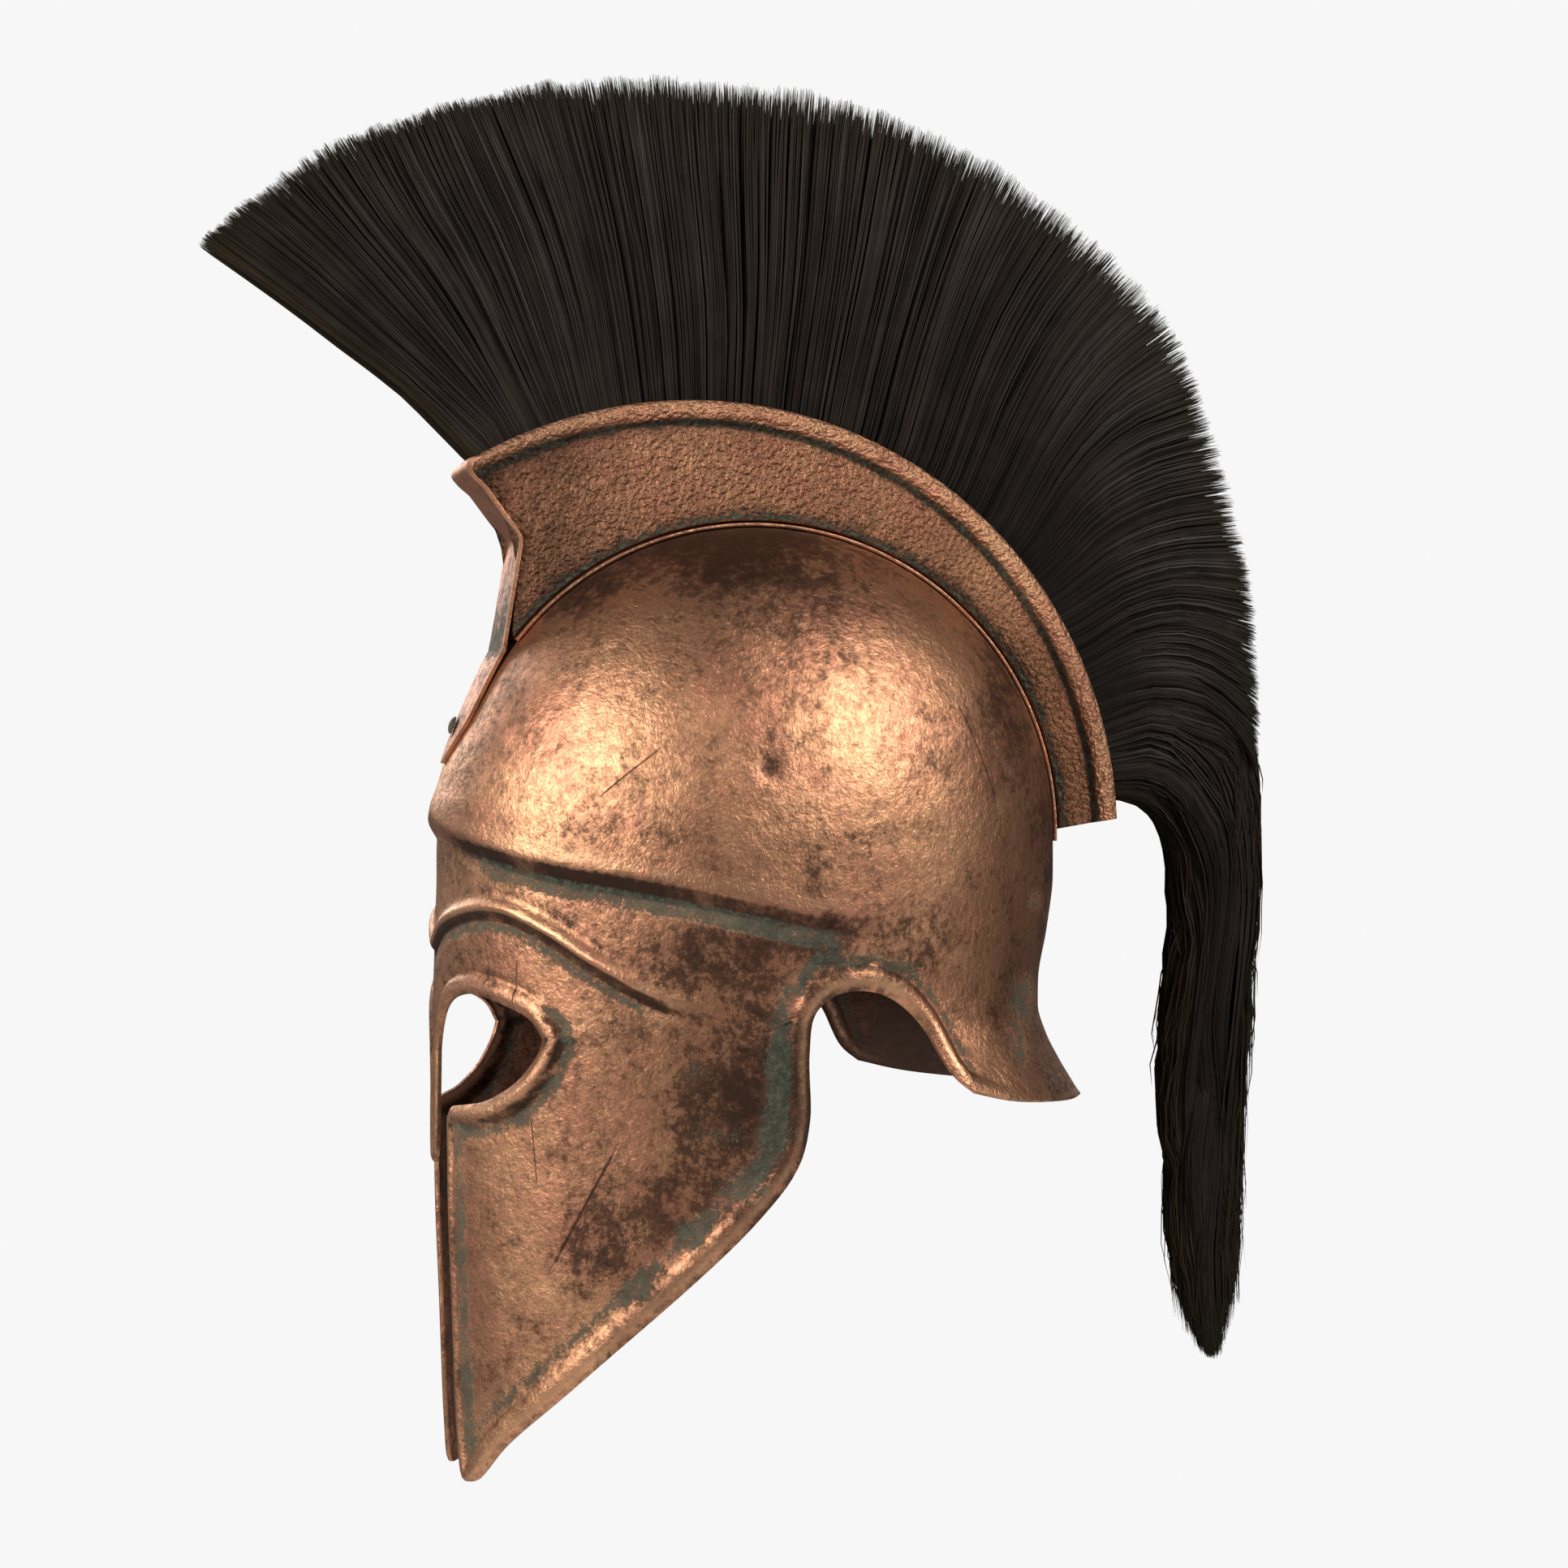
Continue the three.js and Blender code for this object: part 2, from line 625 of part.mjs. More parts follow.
// A point near the dome's ridge: degrees back from the top, offset across, height over the dome.
function overDome(back, x, lift) {
  const reach = (DOME_RADIUS + lift) * Math.sqrt(1 - (x / (DOME_HALF_WIDTH + lift)) ** 2);
  const turn = radians(back);
  return new THREE.Vector3(x, reach * Math.sin(turn), DOME_CENTRE_Z + reach * Math.cos(turn));
}

const ACROSS = [-1, -0.5, 0, 0.5, 1]; // columns of the saddle and the front strap
const SADDLE_SPANS = 26;
function crestSaddle() {
  const sheet = new Sheet();
  const across = ACROSS.map((share) => share * SADDLE_HALF_WIDTH);
  sheet.grid(Array.from({ length: SADDLE_SPANS + 1 }, (_, i) => {
    const back = mix(SADDLE_FRONT, SADDLE_REAR, i / SADDLE_SPANS);
    return across.map((x) => (
      { outer: overDome(back, x, GAP + SADDLE_THICKNESS), inner: overDome(back, x, GAP) }));
  }));
  return sheet.body();
}

const HOLDER_LIFT = 2 * GAP + SADDLE_THICKNESS;
const HOLDER_CLEAR = 1.2;       // between the strap's back and the holder's front edges
const FRONT_SHIFT_FROM = 0.1;   // the front edges keep to the dome below this share of the height
const FOOT_ROUNDING = 2;        // how far the strap's foot curves back at its sides
const HOLDER_SPANS = 21;
const HOLDER_HOLLOW_END = 0.978; // up to this share of its length the holder is hollow
const HOLDER_PLATE_FROM = 0.99; // and past this share it is closed
const HOLDER_END_DROP = 2.4;    // the closing plate stands this far below the rim
const HOLDER_INSIDE = 15.7;     // corners of the section nearer the middle than this are inside
const HOLDER_FLOOR = 1.7;
const HOLDER_CAP_HEIGHT = 40;   // the end faces are divided into triangles as on a section
const HOLDER_CAP_WAIST = 3;     // of this height, drawn in this far at the waist
const holderFrontRim = new THREE.Vector3(0,
  HOLDER_TOP_CENTRE[0] + HOLDER_TOP_RADIUS * Math.sin(radians(HOLDER_TOP_FRONT)),
  HOLDER_TOP_CENTRE[1] + HOLDER_TOP_RADIUS * Math.cos(radians(HOLDER_TOP_FRONT)));

const WAIST_SHARE = 0.535;      // height of the waist of the front edges, as a share of the front

// Half of the holder's U section. A height is measured up from its base, down from its rim,
// or as a share of the whole; the share is where its front edges draw back to the waist.
const HOLDER_SECTION = table(['x', 'up', 'down', 'share'], [
  [9.4, 0, null, null],
  [18.6, 0, null, null],
  [17.3, 2.2, null, null],
  [17.1, null, null, WAIST_SHARE],
  [17.2, null, 9.6, null],
  [18.7, null, 7.4, null],
  [21, null, 5.4, null],
  [21.6, null, 3, null],
  [20.6, null, 0.8, null],
  [18.6, null, 0, null],
  [17.2, null, 1.2, null],
  [15.6, null, 9.6, null],
  [15.5, null, null, WAIST_SHARE],
  [15.4, 3.6, null, null],
  [14.4, HOLDER_FLOOR, null, null],
]);

// Back of the front strap: flat from side to side down to the waist, then ever more rounded
// until it lies on the dome at the foot. The holder's front edges keep just behind it.
const waist = STRAP[STRAP.length - 1];
const foot = { innerY: skin(0, TAB[0].z, GAP).y, innerZ: TAB[0].z };
const strapMiddle = polyline([foot, ...[...STRAP].reverse()], 'innerZ', 'innerY');
function strapBack(x, z) {
  const rounding = clamp01((waist.innerZ - z) / (waist.innerZ - foot.innerZ));
  return strapMiddle(z) + rounding * FOOT_ROUNDING * (x / TAB[0].half) ** 2;
}

function holderOutline(share) {
  const back = mix(HOLDER_BASE_FRONT, HOLDER_BASE_REAR, share);
  const topAngle = radians(mix(HOLDER_TOP_FRONT, HOLDER_TOP_REAR, share));
  const rim = new THREE.Vector3(0, HOLDER_TOP_CENTRE[0] + HOLDER_TOP_RADIUS * Math.sin(topAngle),
    HOLDER_TOP_CENTRE[1] + HOLDER_TOP_RADIUS * Math.cos(topAngle));
  const height = overDome(back, 0, HOLDER_LIFT).distanceTo(rim);
  const follow = Math.max(0, 1 - share / HOLDER_FRONT_BLEND) ** 2;
  const levelOf = (row) => {
    if (row.share !== null) return row.share;
    return row.down === null ? row.up / height : 1 - row.down / height;
  };
  const endLevel = 1 - HOLDER_END_DROP / height;
  const place = (row, side) => {
    const { x } = row;
    const inside = x < HOLDER_INSIDE && row.up !== 0;
    const level = inside && share >= HOLDER_PLATE_FROM ? Math.max(endLevel, levelOf(row)) : levelOf(row);
    const point = overDome(back, x, HOLDER_LIFT).lerp(rim, level);
    const first = overDome(HOLDER_BASE_FRONT, x, HOLDER_LIFT).lerp(holderFrontRim, level);
    point.y += (strapBack(x, first.z) + HOLDER_CLEAR - first.y) * follow * smooth(level / FRONT_SHIFT_FROM);
    point.x = side * x;
    return point;
  };
  return [
    place({ x: 0, up: 0, down: null, share: null }, 1),
    ...HOLDER_SECTION.map((row) => place(row, 1)),
    place({ x: 0, up: HOLDER_FLOOR, down: null, share: null }, 1),
    ...[...HOLDER_SECTION].reverse().map((row) => place(row, -1)),
  ];
}

function crestHolder() {
  const hollow = Array.from({ length: HOLDER_SPANS + 1 }, (_, i) => (HOLDER_HOLLOW_END * i) / HOLDER_SPANS);
  const stations = [...hollow, HOLDER_PLATE_FROM, 1];
  const outlines = stations.map(holderOutline);
  const corner = ({ x, up, down, share }, side) => {
    if (share !== null) return new THREE.Vector2(side * (x - HOLDER_CAP_WAIST), share * HOLDER_CAP_HEIGHT);
    return new THREE.Vector2(side * x, down === null ? up : HOLDER_CAP_HEIGHT - down);
  };
  return swept(outlines, [
    new THREE.Vector2(0, 0),
    ...HOLDER_SECTION.map((row) => corner(row, 1)),
    new THREE.Vector2(0, HOLDER_FLOOR),
    ...[...HOLDER_SECTION].reverse().map((row) => corner(row, -1)),
  ]);
}

const TAB_SPANS = 8;
function crestFrontStrap() {
  const sheet = new Sheet();
  const plate = STRAP.map(({ outerY, outerZ, innerY, innerZ, half }) => ACROSS.map((share) => ({
    outer: new THREE.Vector3(share * half, outerY, outerZ),
    inner: new THREE.Vector3(share * half, innerY, innerZ),
  })));
  const halfAt = reader([...TAB].reverse(), 'z', 'half');
  const tab = Array.from({ length: TAB_SPANS + 1 }, (_, i) => {
    const z = mix(TAB[0].z, TAB[TAB.length - 1].z, i / TAB_SPANS);
    return ACROSS.map((share) => {
      const angle = (Math.asin((share * halfAt(z)) / section(z).half) * 180) / Math.PI;
      return { outer: skin(angle, z, GAP + STRAP_PLATE), inner: skin(angle, z, GAP) };
    });
  });
  sheet.grid([...plate, ...tab]);
  return sheet.body();
}

const RIVET_RINGS = 4;
const RIVET_SIDES = 12;
function crestRivet() {
  const seat = skin(0, RIVET_Z, 2 * GAP + STRAP_PLATE);
  const dome = Array.from({ length: RIVET_RINGS }, (_, i) => {
    const turn = (Math.PI / 2) * (i / RIVET_RINGS);
    return new THREE.Vector2(RIVET_RADIUS * Math.cos(turn), RIVET_COLLAR + RIVET_RISE * Math.sin(turn));
  });
  const profile = [new THREE.Vector2(0, 0), new THREE.Vector2(RIVET_RADIUS, 0), ...dome,
    new THREE.Vector2(0, RIVET_COLLAR + RIVET_RISE)];
  const head = new THREE.LatheGeometry(profile, RIVET_SIDES);
  head.applyQuaternion(new THREE.Quaternion().setFromUnitVectors(
    new THREE.Vector3(0, 1, 0), baseNormal(0, RIVET_Z)));
  head.translate(seat.x, seat.y, seat.z);
  return head;
}

/* ------------------------------------------------------------ plume */

const HAIR_LEVELS = [0, 0.12, 0.3, 0.55, 0.8, 0.93, 1]; // rows from root to tip
const HAIR_SWELL = table(['level', 'share'], [[0, 1], [0.12, 1.02], [0.4, 1.06], [0.8, 0.85], [1, 0.22]]);
const HAIR_IN_HOLDER = 0.2;     // below this share of their length the locks narrow to the holder
const VALLEY_FULL = 0.3;        // from this share of their length on, the valleys have their full depth

// Roots and tips of the hair in the middle plane, as one row of sections.
function hairSections() {
  const fan = FAN.map(({ rootAngle, tipY, tipZ, half, bow }) => ({
    rootY: HOLDER_TOP_CENTRE[0] + PLUME_ROOT_RADIUS * Math.sin(radians(rootAngle)),
    rootZ: HOLDER_TOP_CENTRE[1] + PLUME_ROOT_RADIUS * Math.cos(radians(rootAngle)),
    tipY, tipZ, half, bow,
  }));
  return [...fan, ...TAIL];
}

function plume() {
  const sections = hairSections();
  const root = path(sections, ['rootY', 'rootZ', 'half']);
  const tip = path(sections, ['tipY', 'tipZ', 'bow']);
  const swell = reader(HAIR_SWELL, 'level', 'share');
  const steps = PLUME_LOCKS * 2;
  const sheet = new Sheet();
  sheet.grid(Array.from({ length: steps + 1 }, (_, i) => {
    const along = i / steps;
    const { rootY, rootZ, half } = root(along);
    const { tipY, tipZ, bow } = tip(along);
    const length = Math.hypot(tipY - rootY, tipZ - rootZ);
    const valley = i % 2;
    const reach = valley ? LOCK_NOTCH : 1;
    return HAIR_LEVELS.map((level) => {
      const inHolder = 1 - smooth(level / HAIR_IN_HOLDER);
      const plain = mix(half, Math.min(half, PLUME_ROOT_HALF), inHolder) * swell(level);
      const wide = plain * (1 - LOCK_RELIEF * valley * smooth(level / VALLEY_FULL));
      const aside = (bow * 4 * level * (1 - level)) / length;
      const point = [mix(rootY, tipY, level * reach) + aside * (tipZ - rootZ),
        mix(rootZ, tipZ, level * reach) - aside * (tipY - rootY)];
      return { outer: new THREE.Vector3(wide, ...point), inner: new THREE.Vector3(-wide, ...point) };
    });
  }));
  return sheet.body();
}

/* ------------------------------------------------------------ assembly */

const bronze = { color: 0xa8734a, roughness: 0.42, metalness: 1 };
const FINISHES = {
  helmet_shell: bronze,
  crest_saddle: { color: 0xb07c50, roughness: 0.45, metalness: 1 },
  crest_holder: { color: 0x9a6844, roughness: 0.5, metalness: 1 },
  crest_front_strap: { color: 0x94623f, roughness: 0.48, metalness: 1 },
  crest_rivet: { color: 0x8f7a60, roughness: 0.5, metalness: 1 },
  plume: { color: 0x2a231f, roughness: 0.75, metalness: 0 },
};
const SHAPES = {
  helmet_shell: helmetShell,
  crest_saddle: crestSaddle,
  crest_holder: crestHolder,
  crest_front_strap: crestFrontStrap,
  crest_rivet: crestRivet,
  plume,
};

const helmet = new THREE.Group();
for (const [name, shape] of Object.entries(SHAPES)) {
  const piece = new THREE.Mesh(shape(), new THREE.MeshStandardMaterial(FINISHES[name]));
  piece.name = name;
  helmet.add(piece);
}

export default helmet;
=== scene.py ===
# A bronze Corinthian helmet with a horsehair crest: its worked surfaces, hair, finishes and lamps.
# Shapes are worked out in millimetres in the part's own frame: +Z up, the face towards -Y,
# the wearer's left at +X, the origin at the inside of the crown.
import math
import bpy
import numpy as np
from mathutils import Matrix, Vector


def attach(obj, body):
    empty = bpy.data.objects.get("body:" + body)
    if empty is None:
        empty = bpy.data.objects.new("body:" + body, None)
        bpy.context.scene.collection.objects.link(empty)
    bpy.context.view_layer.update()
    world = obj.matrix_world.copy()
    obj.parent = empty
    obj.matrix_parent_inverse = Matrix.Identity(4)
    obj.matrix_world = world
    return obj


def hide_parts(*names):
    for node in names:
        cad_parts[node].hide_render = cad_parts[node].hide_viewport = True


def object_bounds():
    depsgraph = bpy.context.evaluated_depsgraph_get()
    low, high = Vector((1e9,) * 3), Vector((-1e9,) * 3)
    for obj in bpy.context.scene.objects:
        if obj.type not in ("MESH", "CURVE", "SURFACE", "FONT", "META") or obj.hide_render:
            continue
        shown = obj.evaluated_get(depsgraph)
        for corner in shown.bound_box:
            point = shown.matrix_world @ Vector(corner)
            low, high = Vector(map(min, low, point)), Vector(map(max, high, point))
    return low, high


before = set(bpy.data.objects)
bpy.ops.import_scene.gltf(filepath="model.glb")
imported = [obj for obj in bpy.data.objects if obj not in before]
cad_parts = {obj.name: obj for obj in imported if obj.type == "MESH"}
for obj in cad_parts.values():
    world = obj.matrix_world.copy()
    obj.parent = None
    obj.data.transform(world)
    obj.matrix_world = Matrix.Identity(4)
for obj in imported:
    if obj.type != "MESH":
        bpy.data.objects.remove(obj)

CAD_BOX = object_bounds()
MM = 0.001

# ---------------------------------------------------------------- sizes of the shell
WALL = 1.5
DOME_RADIUS = 116.5
DOME_HALF_WIDTH = 97.5
DOME_CENTRE_Z = WALL - DOME_RADIUS
STEP_HEIGHT = 2.3
WIDEST = 98.6                      # no part of the shell stands out sideways further than this
LOWEST = -352.2                    # nor lower than this
FACE_FORWARD = 1.3                 # the face stands forward of the dome, below and within these
FACE_TOP, FACE_SIDE = -94, 40
SPLAY_FROM, SPLAY_TO = 95.0, 120.0
AROUND = 1.8                       # about a degree's length round the shell

# z, reach forwards, reach backwards, half width, extra half width of the neck guard
SECTIONS = np.array([
    (-355, 114.5, 130, 73, 29), (-290, 116.4, 130, 81, 29), (-240, 118, 130, 85.6, 29),
    (-220, 118, 130, 87.6, 29), (-210, 117.9, 124.2, 89, 22), (-200, 117.9, 118.3, 90.4, 14),
    (-190, 117.9, 113.4, 91.6, 7), (-180, 117.9, 110.6, 92.8, 2), (-170, 117.6, 110.8, 93.8, 0),
    (-150, 117, 114.2, 96.2, 0), (-130, 116.4, 116.5, 97.3, 0),
    (DOME_CENTRE_Z, DOME_RADIUS, DOME_RADIUS, DOME_HALF_WIDTH, 0)], float)
# degrees round the shell, z, share of the step's height
CREASE = np.array([(0, -114.8, 1), (13, -119.5, 1), (26, -124.8, 1), (43, -131.2, 1), (57, -135.3, 1),
                   (69, -139.2, 1), (80, -143.8, .95), (92, -148.8, .8), (101, -150.4, .25),
                   (112, -151, 0), (180, -150, 0)], float)
# degrees, z, height
BROW = np.array([(0, -155.5, 2.2), (7, -148, 2.2), (15, -143.7, 2.2), (25, -141, 2.3), (32, -141.9, 2.5),
                 (38, -145.3, 2.7), (44, -150.1, 2.8), (51, -157.6, 2.8), (58, -164.8, 2.6), (64, -170.9, 2),
                 (70, -175.3, 1), (75, -178.6, 0)], float)
EYE_TAIL = np.array([(44.5, -190, 1.7), (46.6, -187.2, 1.5), (49, -185.4, .9), (51, -184.6, .1)], float)
# degrees, z, width of the bead beside the edge, height of the bead
NASAL_SIDE = np.array([(0, -236.8, 4, .9), (2.9, -235.2, 4, .9), (4.5, -228, 4, .9),
                       (5, -208, 4, .9), (5.4, -195, 4.5, 1.1)], float)
EYE_TOP = np.array([(5.4, -195, 4.5, 1.1), (7, -187.6, 5, 1.3), (10, -179.9, 6, 1.5),
                    (14.2, -175.1, 7, 1.6), (21.6, -173, 7, 1.6), (29.3, -175.1, 7.5, 1.5),
                    (38.8, -181.3, 7.6, 1.6), (42.1, -188.4, 8, 1.9)], float)
EYE_BOTTOM = np.array([(42.1, -188.4, 8, 1.9), (40.8, -193.9, 8.6, 2.4), (35.8, -203.9, 9, 2.7),
                       (27.4, -211.4, 8.5, 2.4), (20, -213.6, 8, 2), (14, -215.2, 6.5, 1.5),
                       (12, -219, 4, 1)], float)
CHEEK_FRONT = np.array([(12, -219, 4, 1), (12.3, -240, 3.5, .8), (12.5, -290, 3.5, .8),
                        (13.6, -336, 4, .9), (15.6, -351, 5, 1.2), (18.4, -352.8, 6, 1.4)], float)
CHEEK_BACK = np.array([(96.5, -172.3, 10, 2.3), (92.9, -178.6, 8.4, 2.3), (91.9, -193, 7.8, 2.3),
                       (92.1, -216.5, 7.8, 2.3), (90.3, -233.9, 9, 2.3), (84.2, -251.2, 10, 2.3),
                       (71.4, -276.8, 10, 2.3), (47.4, -316.5, 10, 2.3), (31.7, -337.4, 9.5, 2.1),
                       (22.6, -350.6, 8, 1.8), (18.4, -352.8, 6, 1.4)], float)
ARCH = np.array([(96.5, -172.3, 10, 2.3), (101.3, -170.5, 9.5, 2.3), (107.9, -173.3, 8.8, 2.3),
                 (114.8, -183.5, 7.6, 2.2), (118.8, -201.1, 7, 1.7), (121.9, -207, 6.5, .6)], float)
NECK_BOTTOM = np.array([(121.9, -207, 8, .6), (130, -210.4, 5, .1), (146, -212.5, 5, 0),
                        (180, -213.5, 5, 0)], float)
# how much painted shade lies at the foot of each edge's bead, how much painted shade darkens
# its outer slope, how green it is, and how wide the green reaches
EDGE_LOOK = [(.35, 0, .5, 3), (.3, 0, 0, 3), (1, 1.1, 1.3, 5), (.5, 0, 1.9, 9.5), (.45, 0, .95, 7),
             (.8, .2, .9, 5), (.3, 0, 0, 3)]


# ---------------------------------------------------------------- reading curves
def smooth(x):
    x = np.clip(x, 0, 1)
    return x * x * (3 - 2 * x)


def hump(x, width):
    """1 at nought, falling softly to nothing at the width."""
    return 1 - smooth(np.abs(x) / width)


def reader(x, y):
    """A smooth curve through the rows that never overshoots them."""
    x, y = np.asarray(x, float), np.asarray(y, float)
    rise = np.diff(y) / np.diff(x)
    slope = np.empty_like(y)
    slope[0], slope[-1] = rise[0], rise[-1]
    before, after = rise[:-1], rise[1:]
    both = before * after
    slope[1:-1] = np.where(both <= 0, 0, 2 * both / np.where(before + after == 0, 1, before + after))

    def read(at):
        p = np.clip(at, x[0], x[-1])
        i = np.clip(np.searchsorted(x, p, side="right") - 1, 0, len(x) - 2)
        span = x[i + 1] - x[i]
        t = (p - x[i]) / span
        return ((2 * t**3 - 3 * t**2 + 1) * y[i] + (t**3 - 2 * t**2 + t) * span * slope[i]
                + (3 * t**2 - 2 * t**3) * y[i + 1] + (t**3 - t**2) * span * slope[i + 1])
    return read


def through(points, count, scale=None, before=None, after=None):
    """Count + 1 points, evenly by length, on a smooth path through the given ones; the points
    before and after it, where it goes on into another path, turn its ends."""
    scale = np.ones(points.shape[1]) if scale is None else np.asarray(scale, float)
    p = np.asarray(points, float) * scale
    first = 2 * p[0] - p[1] if before is None else before[:p.shape[1]] * scale
    last = 2 * p[-1] - p[-2] if after is None else after[:p.shape[1]] * scale
    p = np.vstack([first, p, last])
    fine = []
    for a, b, c, d in zip(p[:-3], p[1:-2], p[2:-1], p[3:]):
        ab, bc, cd = (max(np.linalg.norm(v), 1e-9) ** .5 for v in (b - a, c - b, d - c))
        m1 = (b - a) / ab - (c - a) / (ab + bc) + (c - b) / bc
        m2 = (c - b) / bc - (d - b) / (bc + cd) + (d - c) / cd
        m1, m2 = m1 * bc, m2 * bc
        t = np.linspace(0, 1, 41)[:-1, None]
        fine.append((2 * b - 2 * c + m1 + m2) * t**3 + (3 * c - 3 * b - 2 * m1 - m2) * t**2
                    + m1 * t + b)
    fine = np.vstack(fine + [p[-2][None]])
    run = np.concatenate([[0], np.cumsum(np.linalg.norm(np.diff(fine, axis=0), axis=1))])
    at = np.linspace(0, run[-1], count + 1)
    return np.stack([np.interp(at, run, fine[:, k]) for k in range(fine.shape[1])], 1) / scale


def finer(values, parts):
    """Each span of a list divided into equal parts."""
    values = np.asarray(values, float)
    at = np.linspace(0, len(values) - 1, (len(values) - 1) * parts + 1)
    return np.interp(at, np.arange(len(values)), values)


# ---------------------------------------------------------------- the shell's surface
section_parts = [reader(SECTIONS[:, 0], SECTIONS[:, k]) for k in (1, 2, 3, 4)]
crease_z = reader(CREASE[:, 0], CREASE[:, 1])
crease_share = reader(CREASE[:, 0], CREASE[:, 2])
brow_z = reader(BROW[:, 0], BROW[:, 1])


def base_point(angle, z):
    front, rear, half, splay = (part(z) for part in section_parts)
    reach = np.sqrt(np.maximum(0, DOME_RADIUS**2 - (z - DOME_CENTRE_Z)**2))
    dome = z > DOME_CENTRE_Z
    front, rear = np.where(dome, reach, front), np.where(dome, reach, rear)
    half = np.where(dome, reach * DOME_HALF_WIDTH / DOME_RADIUS, half)
    splay = np.where(dome, 0, splay)
    wide = half + splay * smooth((np.abs(angle) - SPLAY_FROM) / (SPLAY_TO - SPLAY_FROM))
    s, c = np.sin(np.radians(angle)), np.cos(np.radians(angle))
    return np.stack([wide * s, -np.where(c > 0, front, rear) * c, z + 0 * wide], -1)


def base_normal(angle, z):
    p = base_point(angle, z)
    dome = np.stack([p[..., 0] / DOME_HALF_WIDTH**2, p[..., 1] / DOME_RADIUS**2,
                     (z - DOME_CENTRE_Z) / DOME_RADIUS**2], -1)
    step = .2
    low = np.minimum(z, DOME_CENTRE_Z - step)
    around = base_point(angle + step, low) - base_point(angle - step, low)
    up = base_point(angle, low + step) - base_point(angle, low - step)
    n = np.where((z > DOME_CENTRE_Z)[..., None], dome, np.cross(around, up))
    return n / np.linalg.norm(n, axis=-1, keepdims=True)


def trace(rows, count=60, before=None):
    """Points on the plain shell along a table, with its other columns."""
    line = through(rows[:, :2], count, (AROUND, 1), before)
    steps = np.hypot(np.diff(rows[:, 0]) * AROUND, np.diff(rows[:, 1]))
    share = np.concatenate([[0], np.cumsum(steps)]) / steps.sum()
    others = [reader(share, rows[:, k])(np.linspace(0, 1, count + 1)) for k in range(2, rows.shape[1])]
    return base_point(line[:, 0], line[:, 1]), np.stack(others, 1)


def nearest(points, line, columns):
    """Distance from each point to the nearest stretch of a line, and the line's columns there."""
    flat = points.reshape(-1, 3)
    best = np.full(len(flat), 1e9)
    found = np.zeros((len(flat), columns.shape[1]))
    for a, b, low, high in zip(line[:-1], line[1:], columns[:-1], columns[1:]):
        along = b - a
        t = np.clip((flat - a) @ along / (along @ along), 0, 1)
        distance = np.linalg.norm(flat - a - t[:, None] * along, axis=1)
        closer = distance < best
        best[closer] = distance[closer]
        found[closer] = (low + t[:, None] * (high - low))[closer]
    return best.reshape(points.shape[:-1]), found.reshape(points.shape[:-1] + (-1,))


EDGES = [trace(rows, before=before) for rows, before in
         ((NASAL_SIDE, None), (EYE_TOP, NASAL_SIDE[-2]), (EYE_BOTTOM, None), (CHEEK_FRONT, None),
          (CHEEK_BACK, ARCH[1]), (ARCH, CHEEK_BACK[1]), (NECK_BOTTOM, None))]
RIDGE = trace(BROW)
TAIL_RIDGE = trace(EYE_TAIL)

LIP_RISE, LIP_FALL_FROM, LIP_FALL = 7.5, 11.0, 46.0
LIP_EXTRA, LIP_EXTRA_FALL = 1.0, 16.0
BEAD_CREST, BEAD_EDGE = .45, .1
RIDGE_ABOVE, RIDGE_BELOW = 4.6, 4.4
BROW_ENDS = 74                     # degrees round the shell
GROOVE = .45                       # depth of the hollows at the foot of ridges and beads


